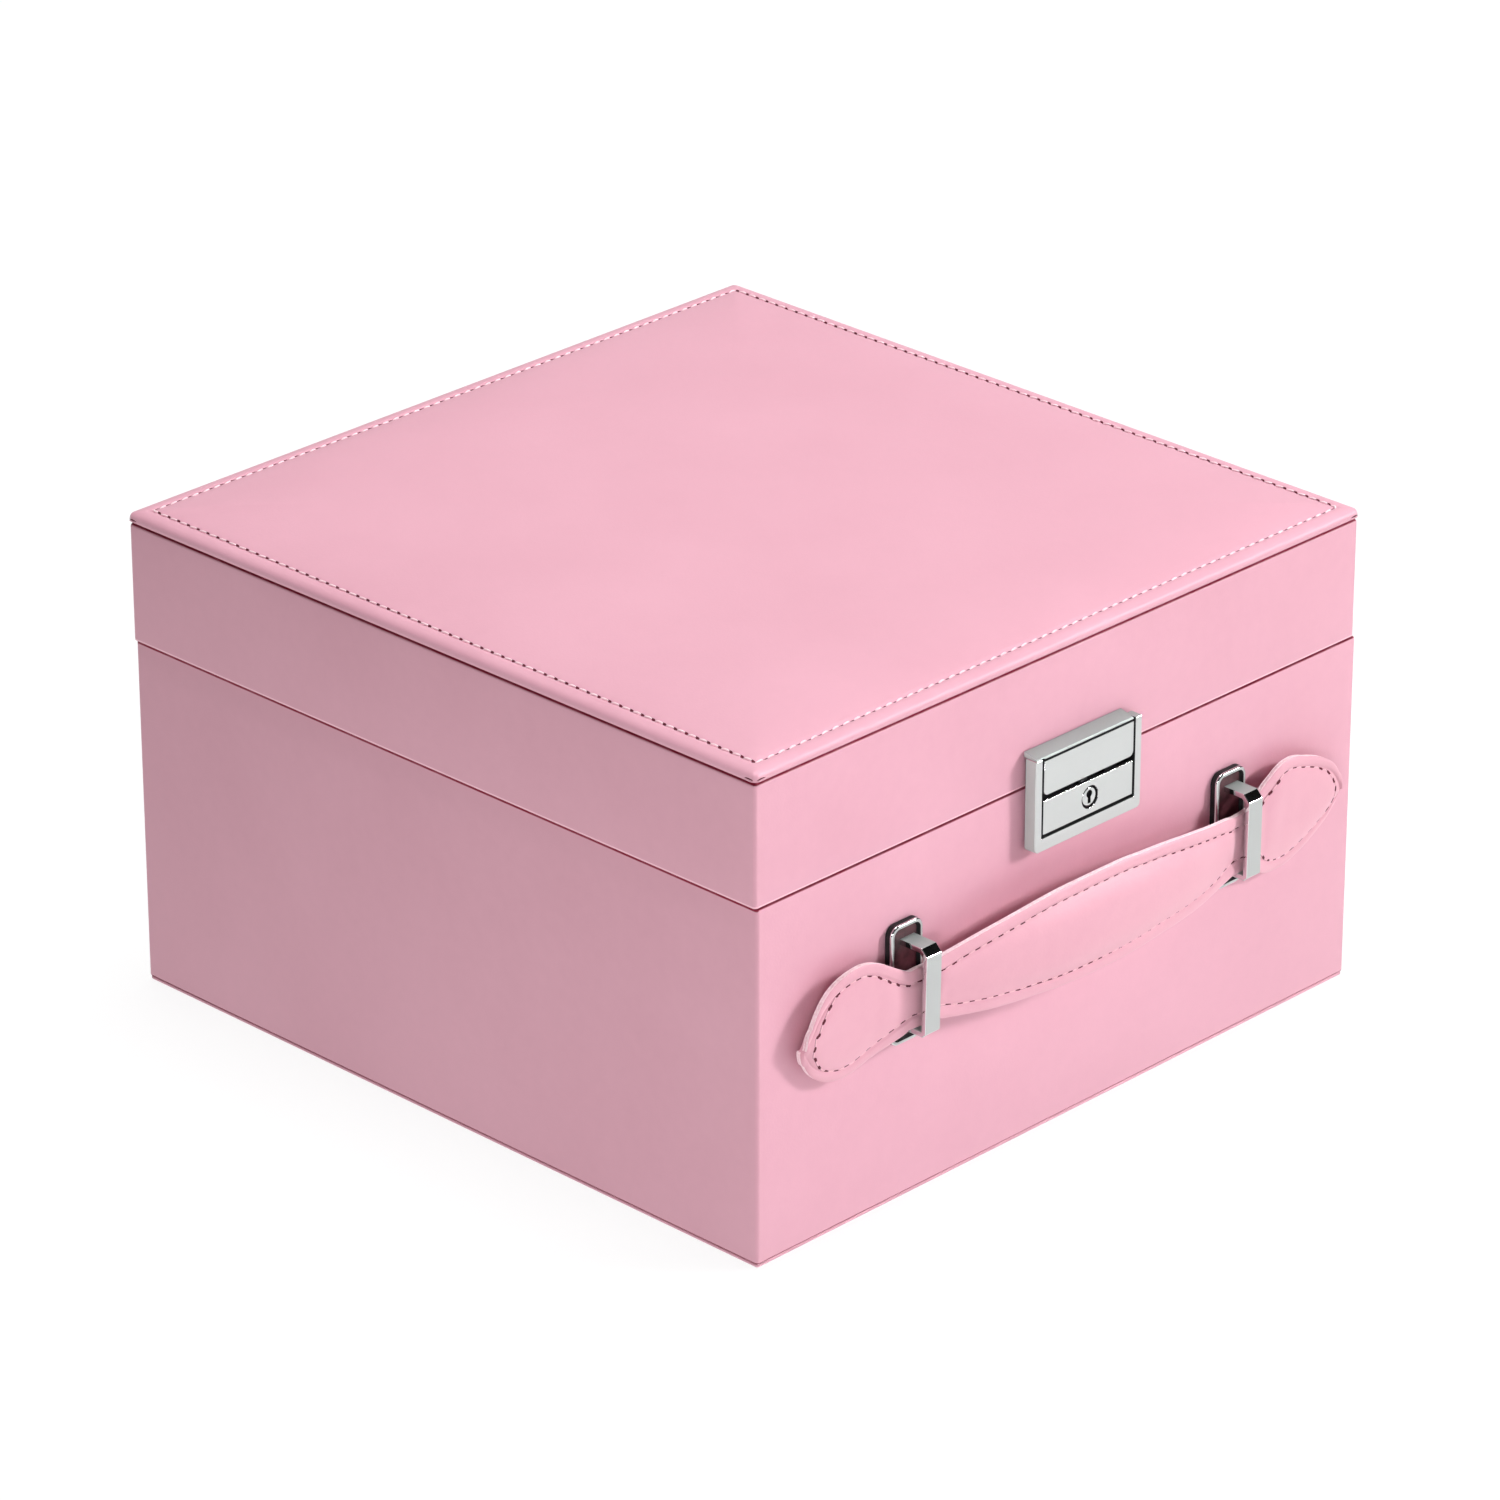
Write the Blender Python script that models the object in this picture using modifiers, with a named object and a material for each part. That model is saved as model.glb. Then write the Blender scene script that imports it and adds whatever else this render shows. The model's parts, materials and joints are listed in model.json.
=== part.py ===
# Leather jewellery case: lidded box with a lift-out tray, a hasp lock and a strap handle.
# The script works in millimetres and places every vertex in metres.
# Origin: middle of the underside.  +Z up, the lock and the handle face -Y, +X to the right of them.
import bpy
import bmesh
import math
from mathutils import Vector

for ob in list(bpy.data.objects):
    bpy.data.objects.remove(ob, do_unlink=True)
for cl in list(bpy.data.collections):
    bpy.data.collections.remove(cl)

MM = 0.001
GAP = 0.3            # clearance between neighbouring pieces

# ---------------------------------------------------------------- driving dimensions (mm)
HX = 115.0           # half width of the leather faces
HY = 116.2           # half depth of the leather faces
R_BODY = 1.1         # radius of the upright corners
SEAM_LO = 101.6      # top of the base's rim
SEAM_HI = 102.0      # underside of the lid's rim
LID_TOP = 136.2      # top of the lid's wrapped wall
LEATHER = 1.0        # leather thickness
WALL = 6.0           # board thickness of both carcasses
BOARD_T = 2.0        # bottom board

AXIS_Y = HY + 2.3    # hinge axis
AXIS_Z = 101.8
HINGE_X = 62.0
HINGE_HALF = 14.0
KNUCKLE_R = 2.0
BORE_R = 1.1
PIN_R = 0.8

LOCK_X = 3.1         # lock centre
LOCK_HALF = 20.4
LOCK_Z0 = 84.4
LOCK_Z1 = 110.8
PLUG_X = LOCK_X + 0.9
PLUG_Z = 93.7
PLUG_R = 2.6

STRAP_X = 0.95       # handle centre
STRAP_Z = 62.8
BAR_X = 62.65        # half distance between the two brackets
BRACKET_HX = 5.95
BRACKET_HZ = 17.1
BRACKET_DX = -0.85   # plate centre from the centre of its loop
BRACKET_Z = 63.6
LOOP_HALF_W = 2.75
LOOP_Z0 = 50.9
LOOP_Z1 = 76.2
LOOP_TOP_D = {"left": 11.2, "right": 10.5}     # depth of the front bar at its top and bottom
LOOP_BOT_D = {"left": 10.8, "right": 10.4}
LOOP_T = 1.6

TRAY_HX = 104.3
TRAY_HY = 105.5
TRAY_Z0 = 60.3
TRAY_Z1 = 95.7

SEG = 4              # segments in each corner of the box

# ---------------------------------------------------------------- scene helpers
PARTS = bpy.data.collections.new("leather_jewellery_case")
CUTS = bpy.data.collections.new("cutters")
bpy.context.scene.collection.children.link(PARTS)
bpy.context.scene.collection.children.link(CUTS)


def material(name, rgb, rough, metal=0.0):
    m = bpy.data.materials.new(name)
    m.use_nodes = True
    b = m.node_tree.nodes["Principled BSDF"]
    b.inputs["Base Color"].default_value = (rgb[0], rgb[1], rgb[2], 1.0)
    b.inputs["Roughness"].default_value = rough
    b.inputs["Metallic"].default_value = metal
    m.diffuse_color = (rgb[0], rgb[1], rgb[2], 1.0)
    return m


COL = {
    "leather": ((0.86, 0.46, 0.53), 0.42, 0.0),
    "leather_strap": ((0.88, 0.49, 0.55), 0.42, 0.0),
    "board": ((0.62, 0.48, 0.33), 0.8, 0.0),
    "velvet": ((0.80, 0.66, 0.62), 0.95, 0.0),
    "foam": ((0.85, 0.83, 0.78), 0.95, 0.0),
    "chrome": ((0.80, 0.80, 0.81), 0.08, 1.0),
    "steel": ((0.60, 0.60, 0.60), 0.3, 1.0),
    "mirror": ((0.92, 0.93, 0.93), 0.02, 1.0),
}


def mesh_object(name, bm, mat, coll=PARTS, smooth=None):
    bmesh.ops.recalc_face_normals(bm, faces=bm.faces[:])
    me = bpy.data.meshes.new(name)
    bm.to_mesh(me)
    bm.free()
    ob = bpy.data.objects.new(name, me)
    coll.objects.link(ob)
    if coll is CUTS:
        ob.hide_render = True
        ob.display_type = 'WIRE'
    else:
        rgb, rough, metal = COL[mat]
        me.materials.append(material(name + "_mat", rgb, rough, metal))
    if smooth:
        me.shade_smooth()
        me.set_sharp_from_angle(angle=math.radians(smooth))
    return ob


def rr_loop(hx, hy, r, n=SEG):
    """Rounded rectangle, counter-clockwise, n segments per corner."""
    r = max(r, 0.05)
    pts = []
    for k, (sx, sy) in enumerate(((1, 1), (-1, 1), (-1, -1), (1, -1))):
        cx, cy = sx * (hx - r), sy * (hy - r)
        a0 = k * math.pi / 2
        for i in range(n + 1):
            a = a0 + math.pi / 2 * i / n
            pts.append((cx + r * math.cos(a), cy + r * math.sin(a)))
    return pts


def loft(bm, loops, cap=True, closed=False):
    """Skin a list of equal-length loops of 3-D points given in mm."""
    rows = [[bm.verts.new((p[0] * MM, p[1] * MM, p[2] * MM)) for p in lp] for lp in loops]
    n = len(rows[0])
    pairs = list(zip(rows[:-1], rows[1:]))
    if closed:
        pairs.append((rows[-1], rows[0]))
    for a, b in pairs:
        for i in range(n):
            j = (i + 1) % n
            bm.faces.new((a[i], a[j], b[j], b[i]))
    if cap and not closed:
        bm.faces.new(rows[0])
        bm.faces.new(list(reversed(rows[-1])))
    return rows


def rect_loops(prof, hx, hy, r, n=SEG, cx=0.0, cy=0.0, rmin=0.8):
    out = []
    for inset, z in prof:
        pts = rr_loop(hx - inset, hy - inset, max(r - inset, rmin), n)
        out.append([(cx + p[0], cy + p[1], z) for p in pts])
    return out


def rect_ring(name, prof, hx, hy, r, mat, smooth=35, **kw):
    """A closed (inset, z) profile swept round a rounded rectangle."""
    bm = bmesh.new()
    loft(bm, rect_loops(prof, hx, hy, r, **kw), closed=True)
    return mesh_object(name, bm, mat, smooth=smooth)


def rect_cup(name, prof, hx, hy, r, mat, smooth=35, **kw):
    """An open (inset, z) profile swept round a rounded rectangle, capped at both ends."""
    bm = bmesh.new()
    loft(bm, rect_loops(prof, hx, hy, r, **kw))
    return mesh_object(name, bm, mat, smooth=smooth)


def box_into(bm, x0, x1, y0, y1, z0, z1):
    res = bmesh.ops.create_cube(bm, size=1.0)
    bmesh.ops.scale(bm, vec=((x1 - x0) * MM, (y1 - y0) * MM, (z1 - z0) * MM), verts=res["verts"])
    bmesh.ops.translate(bm, vec=((x0 + x1) / 2 * MM, (y0 + y1) / 2 * MM, (z0 + z1) / 2 * MM),
                        verts=res["verts"])


def bevel(ob, width, seg=2, angle=40):
    b = ob.modifiers.new("bevel", 'BEVEL')
    b.width = width * MM
    b.segments = seg
    b.limit_method = 'ANGLE'
    b.angle_limit = math.radians(angle)
    b.miter_outer = 'MITER_SHARP'
    return ob


def block(name, x0, x1, y0, y1, z0, z1, mat, bev=0.0, seg=2, coll=PARTS):
    bm = bmesh.new()
    box_into(bm, x0, x1, y0, y1, z0, z1)
    ob = mesh_object(name, bm, mat, coll=coll)
    if bev > 0:
        bevel(ob, bev, seg)
    return ob


def axis_pt(c, axis, u, v, a):
    """Point at (u, v) across and a along the axis, from centre c."""
    if axis == 'X':
        return (c[0] + a, c[1] + u, c[2] + v)
    if axis == 'Y':
        return (c[0] + u, c[1] + a, c[2] + v)
    return (c[0] + u, c[1] + v, c[2] + a)


def lathe_into(bm, prof, c, axis, n=16, closed=False):
    """(radius, distance along the axis) profile spun about the axis through c."""
    pts = list(prof) if closed else [(0.0, prof[0][1])] + list(prof) + [(0.0, prof[-1][1])]
    verts = [bm.verts.new(Vector(axis_pt(c, axis, r, 0.0, a)) * MM) for r, a in pts]
    edges = [bm.edges.new(e) for e in zip(verts[:-1], verts[1:])]
    if closed:
        edges.append(bm.edges.new((verts[-1], verts[0])))
    spin_axis = {'X': (1, 0, 0), 'Y': (0, 1, 0), 'Z': (0, 0, 1)}[axis]
    kept = set(bm.verts) - set(verts)
    bmesh.ops.spin(bm, geom=verts + edges, cent=Vector(c) * MM, axis=spin_axis,
                   angle=2 * math.pi, steps=n, use_merge=True)
    mine = [v for v in bm.verts if v not in kept]
    bmesh.ops.remove_doubles(bm, verts=mine, dist=0.00001)


def prism_into(bm, poly, axis, a0, a1, c=(0, 0, 0)):
    """A polygon across the axis, extruded from a0 to a1 along it."""
    face = bm.faces.new([bm.verts.new(Vector(axis_pt(c, axis, u, v, a0)) * MM) for u, v in poly])
    res = bmesh.ops.extrude_face_region(bm, geom=[face], use_keep_orig=True)
    far = [e for e in res["geom"] if isinstance(e, bmesh.types.BMVert)]
    step = Vector(axis_pt((0, 0, 0), axis, 0.0, 0.0, a1 - a0)) * MM
    bmesh.ops.translate(bm, vec=step, verts=far)


def cutter(name, build):
    bm = bmesh.new()
    build(bm)
    return mesh_object(name, bm, None, coll=CUTS)


def boolean(ob, other, op='DIFFERENCE'):
    m = ob.modifiers.new(op.lower(), 'BOOLEAN')
    m.operation = op
    m.solver = 'EXACT'
    m.object = other
    return ob


# face depth d (mm in front of the leather face) to world y
def fy(d):
    return -HY - d


# ================================================================ BASE
rect_cup("bottom_board",
         [(1.2, 0.0), (0.8, 0.35), (0.8, BOARD_T - 0.35), (1.2, BOARD_T)],
         HX, HY, R_BODY, "leather")

base_z0 = BOARD_T + GAP
car_top = SEAM_LO - LEATHER - GAP
base_carcass = rect_cup("base_carcass",
                        [(LEATHER + GAP, base_z0), (LEATHER + GAP, car_top),
                         (LEATHER + GAP + WALL, car_top), (LEATHER + GAP + WALL, base_z0 + 4.0)],
                        HX, HY, R_BODY, "board")

inn = 2 * LEATHER + 2 * GAP + WALL      # inset of the turned-in leather's inner face
base_leather = rect_ring("base_leather",
                         [(0.0, base_z0), (0.0, SEAM_LO - 0.8), (0.23, SEAM_LO - 0.23), (0.8, SEAM_LO),
                          (inn - 0.8, SEAM_LO), (inn - 0.23, SEAM_LO - 0.23), (inn, SEAM_LO - 0.8),
                          (inn, 92.0), (inn - LEATHER, 92.0), (inn - LEATHER, SEAM_LO - LEATHER),
                          (LEATHER, SEAM_LO - LEATHER), (LEATHER, base_z0)],
                         HX, HY, R_BODY, "leather")

LIN = inn + GAP                          # inset of the lining where it passes the turned-in leather
base_lining = rect_cup("base_lining",
                       [(inn - LEATHER, 6.6), (inn - LEATHER, 91.6), (LIN, 91.6), (LIN, 98.2),
                        (LIN + 0.3, 98.6), (LIN + 0.7, 98.6), (LIN + 1.0, 98.2), (LIN + 1.0, 7.8)],
                       HX, HY, R_BODY, "velvet")

IX = HX - LIN - 1.0                      # clear half width inside the lining
IY = HY - LIN - 1.0
for sgn, side in ((-1, "left"), (1, "right")):
    xa, xb = sorted((sgn * (IX - GAP), sgn * (IX - GAP - 5.5)))
    block("tray_ledge_" + side, xa, xb, -100.0, 100.0, 56.0, 60.0, "velvet", 0.8)

DIV = 3.0
block("lower_divider_long", -IX + GAP, IX - GAP, 8.5, 8.5 + DIV, 8.1, 48.0, "velvet", 0.9)
block("lower_divider_front", -1.5, 1.5, -IY + GAP, 8.2, 8.1, 48.0, "velvet", 0.9)
block("lower_divider_back", 33.5, 36.5, 11.8, IY - GAP, 8.1, 48.0, "velvet", 0.9)

# ================================================================ LID
lid_bits = []
lid_leather = rect_ring("lid_leather",
                        [(0.8, SEAM_HI), (0.23, SEAM_HI + 0.23), (0.0, SEAM_HI + 0.8),
                         (0.0, LID_TOP - 0.8), (0.23, LID_TOP - 0.23), (0.8, LID_TOP),
                         (8.0, LID_TOP), (8.0, LID_TOP - LEATHER), (LEATHER, LID_TOP - LEATHER),
                         (LEATHER, SEAM_HI + LEATHER), (inn - LEATHER, SEAM_HI + LEATHER),
                         (inn - LEATHER, 112.0), (inn, 112.0), (inn, SEAM_HI + 0.8),
                         (inn - 0.23, SEAM_HI + 0.23), (inn - 0.8, SEAM_HI)],
                        HX, HY, R_BODY, "leather")
lid_z0 = SEAM_HI + LEATHER + GAP
lid_top = LID_TOP - LEATHER - GAP
lid_carcass = rect_cup("lid_carcass",
                       [(LEATHER + GAP + WALL, lid_top - 4.0), (LEATHER + GAP + WALL, lid_z0),
                        (LEATHER + GAP, lid_z0), (LEATHER + GAP, lid_top), (8.3, lid_top),
                        (8.3, LID_TOP)],
                       HX, HY, R_BODY, "board")
lid_lining = rect_cup("lid_lining",
                      [(inn - LEATHER, 130.6), (inn - LEATHER, 112.3), (LIN, 112.3), (LIN, 105.4),
                       (LIN + 0.3, 105.0), (LIN + 0.7, 105.0), (LIN + 1.0, 105.4), (LIN + 1.0, 129.4)],
                      HX, HY, R_BODY, "velvet")
PAN = LID_TOP + GAP
top_board = rect_cup("top_panel_board",
                     [(1.9, PAN), (1.6, PAN + 0.3), (1.6, PAN + 1.2), (1.9, PAN + 1.5)],
                     HX, HY, R_BODY, "board")
top_foam = rect_cup("top_panel_foam",
                    [(9.0, PAN + 1.8), (9.0, PAN + 2.1), (14.0, PAN + 2.8), (25.0, PAN + 3.3),
                     (45.0, PAN + 3.6), (75.0, PAN + 3.7)],
                    HX, HY, R_BODY, "foam", smooth=60)
top_leather = rect_cup("top_panel_leather",
                       [(75.0, PAN + 4.2), (45.0, PAN + 4.1), (25.0, PAN + 3.8), (14.0, PAN + 3.3),
                        (8.0, PAN + 2.6), (4.5, PAN + 1.8), (1.3, PAN + 1.8), (1.3, PAN),
                        (0.3, PAN), (-0.1, PAN + 0.6), (-0.3, PAN + 1.6), (0.0, PAN + 2.6),
                        (0.8, PAN + 3.2), (2.0, PAN + 3.4), (3.4, PAN + 3.1), (4.4, PAN + 2.7),
                        (5.4, PAN + 2.9), (8.0, PAN + 3.6), (14.0, PAN + 4.3), (25.0, PAN + 4.8),
                        (45.0, PAN + 5.1), (75.0, PAN + 5.2)],
                       HX, HY, R_BODY, "leather", smooth=60)
MIR = 90.0
mirror_frame = rect_ring("mirror_frame",
                         [(0.0, 129.1), (0.0, 126.2), (0.6, 125.6), (11.4, 125.6), (12.0, 126.2),
                          (12.0, 126.7), (9.0, 126.7), (9.0, 129.1)],
                         MIR, MIR, 4.0, "leather")
mirror_glass = rect_cup("mirror_glass", [(0.0, 127.0), (0.0, 129.0)], MIR - 9.3, MIR - 9.3, 1.0,
                        "mirror", rmin=0.8)
lid_bits += [lid_leather, lid_carcass, lid_lining, top_board, top_foam, top_leather, mirror_frame,
             mirror_glass]

# ================================================================ HINGES
SCREW_Y = 112.0
leaf_pockets = []
for sgn, side in ((-1, "left"), (1, "right")):
    hx = sgn * HINGE_X
    for kind in ("base", "lid"):
        z0, z1 = (100.7, SEAM_LO) if kind == "base" else (SEAM_HI, 102.9)
        spans = ((-HINGE_HALF, -5.0), (5.0, HINGE_HALF)) if kind == "base" else ((-4.7, 4.7),)
        leaf = block("hinge_%s_leaf_%s" % (kind, side), hx - HINGE_HALF, hx + HINGE_HALF,
                     109.2, AXIS_Y - KNUCKLE_R - 0.35, z0, z1, "chrome")
        for k, (a0, a1) in enumerate(spans):
            tab = cutter("tab_%s_%s_%d" % (kind, side, k), lambda bm: box_into(
                bm, hx + a0, hx + a1, AXIS_Y - 3.0, AXIS_Y - 1.4, z0, z1))
            boolean(leaf, tab, 'UNION')
            tube = cutter("tube_%s_%s_%d" % (kind, side, k), lambda bm: lathe_into(
                bm, [(KNUCKLE_R, a0), (KNUCKLE_R, a1), (BORE_R, a1), (BORE_R, a0)],
                (hx, AXIS_Y, AXIS_Z), 'X', 20, closed=True))
            boolean(leaf, tube, 'UNION')

        def sinks(bm, kind=kind, hx=hx):
            s = 1 if kind == "base" else -1
            zt = SEAM_LO if kind == "base" else SEAM_HI
            for dx in (-9.0, 9.0):
                lathe_into(bm, [(1.95, zt + s * 0.5), (1.85, zt), (1.1, zt - s * 0.75), (1.1, zt - s * 1.4)],
                           (hx + dx, SCREW_Y, 0.0), 'Z', 16)
        boolean(leaf, cutter("sinks_%s_%s" % (kind, side), sinks))
        if kind == "lid":
            lid_bits.append(leaf)
    bm = bmesh.new()
    lathe_into(bm, [(1.2, -15.0), (1.6, -14.7), (1.6, -14.3), (PIN_R, -14.3), (PIN_R, 14.3), (1.6, 14.3),
                    (1.6, 14.7), (1.2, 15.0)], (hx, AXIS_Y, AXIS_Z), 'X', 16)
    mesh_object("hinge_pin_" + side, bm, "chrome", smooth=35)

for kind in ("base", "lid"):
    s = 1 if kind == "base" else -1
    zt = (SEAM_LO - 0.05) if kind == "base" else (SEAM_HI + 0.05)
    count = 0
    for hx in (-HINGE_X, HINGE_X):
        for dx in (-9.0, 9.0):
            count += 1
            bm = bmesh.new()
            lathe_into(bm, [(1.5, zt), (0.8, zt - s * 0.75), (0.8, zt - s * 6.5), (0.2, zt - s * 8.0)],
                       (hx + dx, SCREW_Y, 0.0), 'Z', 14)
            scr = mesh_object("hinge_screw_%s_%d" % (kind, count), bm, "steel", smooth=35)
            boolean(scr, cutter("slot_%s_%d" % (kind, count), lambda bm: box_into(
                bm, hx + dx - 1.1, hx + dx + 1.1, SCREW_Y - 0.2, SCREW_Y + 0.2,
                min(zt - s * 0.35, zt + s), max(zt - s * 0.35, zt + s))))
            if kind == "lid":
                lid_bits.append(scr)


def pockets(z0, z1):
    def build(bm):
        for hx in (-HINGE_X, HINGE_X):
            box_into(bm, hx - HINGE_HALF - 0.5, hx + HINGE_HALF + 0.5, 108.7, AXIS_Y, z0, z1)
    return build


boolean(base_leather, cutter("pockets_base", pockets(100.4, 102.6)))
boolean(lid_leather, cutter("pockets_lid", pockets(101.0, 103.2)))


def pilot(z0, z1):
    def build(bm):
        for hx in (-HINGE_X, HINGE_X):
            for dx in (-9.0, 9.0):
                lathe_into(bm, [(1.15, z0), (1.15, z1)], (hx + dx, SCREW_Y, 0.0), 'Z', 12)
    return build


boolean(base_carcass, cutter("pilots_base", pilot(92.5, 101.0)))
boolean(lid_carcass, cutter("pilots_lid", pilot(103.0, 111.0)))

# ================================================================ FRONT FIXINGS (screws from inside)
fix_lock = [(LOCK_X - 10.0, 95.0), (LOCK_X + 10.0, 95.0)]
fix_hasp = [(LOCK_X - 10.0, 107.2), (LOCK_X + 9.0, 107.2)]
fix_bracket = [(STRAP_X + s * BAR_X + BRACKET_DX, BRACKET_Z + t * 14.6) for s in (-1, 1) for t in (-1, 1)]
IN_Y = -HY + LEATHER + GAP + WALL       # inner face of the front board


def screws(name, spots, tip_d):
    made = []
    for k, (x, z) in enumerate(spots):
        bm = bmesh.new()
        lathe_into(bm, [(1.2, fy(tip_d)), (1.2, IN_Y - 2.2), (2.4, IN_Y - 2.2), (2.4, IN_Y - 0.9),
                        (1.7, IN_Y - 0.4)], (x, 0, z), 'Y', 12)
        made.append(mesh_object("%s_%d" % (name, k + 1), bm, "steel", smooth=35))
    return made


def wall_holes(spots):
    def build(bm):
        for x, z in spots:
            lathe_into(bm, [(1.55, -HY - 2.0), (1.55, IN_Y - 2.5), (2.8, IN_Y - 2.5), (2.8, IN_Y + 1.0)],
                       (x, 0, z), 'Y', 12)
    return build


def skin_holes(spots):
    def build(bm):
        for x, z in spots:
            lathe_into(bm, [(1.55, -HY - 1.0), (1.55, -HY + 2.5)], (x, 0, z), 'Y', 12)
    return build


screws("lock_screw", fix_lock, 0.9)
screws("bracket_screw", fix_bracket, 1.05)
lid_bits += screws("hasp_screw", fix_hasp, 0.95)
boolean(base_carcass, cutter("wall_holes_base", wall_holes(fix_lock + fix_bracket)))
boolean(base_leather, cutter("skin_holes_base", skin_holes(fix_lock + fix_bracket)))
boolean(lid_carcass, cutter("wall_holes_lid", wall_holes(fix_hasp)))
boolean(lid_leather, cutter("skin_holes_lid", skin_holes(fix_hasp)))

# ================================================================ LOCK
LH = LOCK_HALF
WIN = LH - 2.6                          # half width of the window between the stiles
ch = 1.2
u_poly = [(LOCK_X - LH, LOCK_Z1), (LOCK_X - LH, LOCK_Z0 + ch), (LOCK_X - LH + ch * 0.35, LOCK_Z0 + ch * 0.35),
          (LOCK_X - LH + ch, LOCK_Z0), (LOCK_X + LH - ch, LOCK_Z0),
          (LOCK_X + LH - ch * 0.35, LOCK_Z0 + ch * 0.35), (LOCK_X + LH, LOCK_Z0 + ch), (LOCK_X + LH, LOCK_Z1),
          (LOCK_X + WIN, LOCK_Z1), (LOCK_X + WIN, 88.2), (LOCK_X - WIN, 88.2), (LOCK_X - WIN, LOCK_Z1)]
bm = bmesh.new()
prism_into(bm, u_poly, 'Y', fy(5.0), fy(0.9))
housing = mesh_object("lock_housing", bm, "chrome")
bevel(housing, 0.35, 2, 50)
boolean(housing, cutter("lock_web", lambda bm: box_into(
    bm, LOCK_X - LH + 1.0, LOCK_X + LH - 1.0, fy(1.05), fy(0.3), 89.0, 101.2)), 'UNION')
boolean(housing, cutter("lock_web_holes", lambda bm: [lathe_into(
    bm, [(1.55, fy(2.0)), (1.55, fy(0.0))], (x, 0, z), 'Y', 12) for x, z in fix_lock]))

PLATE = WIN - 0.35
face_plate = block("lock_face_plate", LOCK_X - PLATE, LOCK_X + PLATE, fy(4.5), fy(3.5), 88.5, 98.7,
                   "chrome", 0.25)
boolean(face_plate, cutter("plate_bezel", lambda bm: lathe_into(
    bm, [(3.6, fy(4.0)), (3.6, fy(4.7)), (3.4, fy(4.9)), (3.1, fy(4.9))], (PLUG_X, 0, PLUG_Z), 'Y', 24)),
    'UNION')
for k, px in enumerate((LOCK_X - 14.3, LOCK_X + 14.5)):
    boolean(face_plate, cutter("plate_post_%d" % k, lambda bm: lathe_into(
        bm, [(1.2, fy(3.8)), (1.2, fy(1.35))], (px, 0, PLUG_Z), 'Y', 12)), 'UNION')
boolean(face_plate, cutter("plate_bore", lambda bm: lathe_into(
    bm, [(PLUG_R + 0.3, fy(6.0)), (PLUG_R + 0.3, fy(2.8))], (PLUG_X, 0, PLUG_Z), 'Y', 24)))


# plug and cam turn about the Y axis through their own origins
def local_object(name, bm, mat, origin, smooth=None):
    ob = mesh_object(name, bm, mat, smooth=smooth)
    ob.location = Vector(origin) * MM
    return ob


plug_o = (PLUG_X, fy(2.5), PLUG_Z)
bm = bmesh.new()
lathe_into(bm, [(1.0, 1.2), (1.0, 0.0), (PLUG_R, 0.0), (PLUG_R, -1.95), (PLUG_R - 0.25, -2.2)],
           (0, 0, 0), 'Y', 24)
plug = local_object("key_plug", bm, "chrome", plug_o, 35)
way = cutter("keyway_slot", lambda bm: box_into(bm, -0.42, 0.42, -3.0, -0.5, -1.7, 0.6))
way.location = Vector(plug_o) * MM
boolean(plug, way)
way = cutter("keyway_round", lambda bm: lathe_into(bm, [(0.8, -3.0), (0.8, -0.6)], (0, 0, 0.9), 'Y', 12))
way.location = Vector(plug_o) * MM
boolean(plug, way)

cam_poly = [(-1.2, 4.6), (-1.2, 1.84)]
for i in range(13):
    a = math.radians(123.1 + i * (360 - 2 * 33.1) / 12)
    cam_poly.append((2.2 * math.cos(a), 2.2 * math.sin(a)))
cam_poly += [(1.2, 1.84), (1.2, 4.6)]
cam_poly = [cam_poly[0]] + cam_poly[2:-2] + [cam_poly[-1]]
bm = bmesh.new()
prism_into(bm, cam_poly, 'Y', 0.2, 1.0)
cam = local_object("lock_cam", bm, "steel", plug_o, 35)
hole = cutter("cam_hole", lambda bm: lathe_into(bm, [(1.3, -0.5), (1.3, 2.0)], (0, 0, 0), 'Y', 16))
hole.location = Vector(plug_o) * MM
boolean(cam, hole)

# hasp carried by the lid: cap, front plate, back plate, neck and hook
r = 1.6
fl = PLATE
flap_sec = [(fy(0.3), 102.5), (fy(1.1), 102.5), (fy(1.1), LOCK_Z1 - 0.2), (fy(3.7), LOCK_Z1 - 1.0),
            (fy(3.7), 100.0), (fy(4.6), 100.0), (fy(4.6), LOCK_Z1), (fy(0.3), LOCK_Z1 + 1.1)]
bm = bmesh.new()
prism_into(bm, flap_sec, 'X', LOCK_X - fl, LOCK_X + fl)
hasp = mesh_object("hasp_flap", bm, "chrome")


def flap_corner(sx):
    """The waste outside one rounded lower corner of the front plate."""
    cx = LOCK_X + sx * (fl - r)
    arc = [(cx + sx * r * math.sin(math.pi / 2 * i / 5), 100.0 + r - r * math.cos(math.pi / 2 * i / 5))
           for i in range(6)]
    return arc + [(LOCK_X + sx * (fl + 1.0), 100.0 + r), (LOCK_X + sx * (fl + 1.0), 99.0), (cx, 99.0)]


for sx, side in ((-1, "left"), (1, "right")):
    boolean(hasp, cutter("flap_corner_" + side, lambda bm: prism_into(
        bm, flap_corner(sx), 'Y', fy(5.5), fy(2.6))))
bevel(hasp, 0.2, 2, 50)
boolean(hasp, cutter("hasp_neck", lambda bm: box_into(
    bm, 10.4, 15.0, fy(3.9), fy(0.9), 103.0, 105.2)), 'UNION')
hook_poly = [(7.5, 89.5), (14.5, 89.5), (14.5, 104.0), (11.9, 104.0), (11.9, 92.2), (7.5, 92.2)]
boolean(hasp, cutter("hasp_hook", lambda bm: prism_into(bm, hook_poly, 'Y', fy(2.3), fy(1.5))), 'UNION')
boolean(hasp, cutter("hasp_holes", lambda bm: [lathe_into(
    bm, [(1.55, fy(1.5)), (1.55, fy(0.0))], (x, 0, z), 'Y', 12) for x, z in fix_hasp]))
lid_bits.append(hasp)

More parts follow.
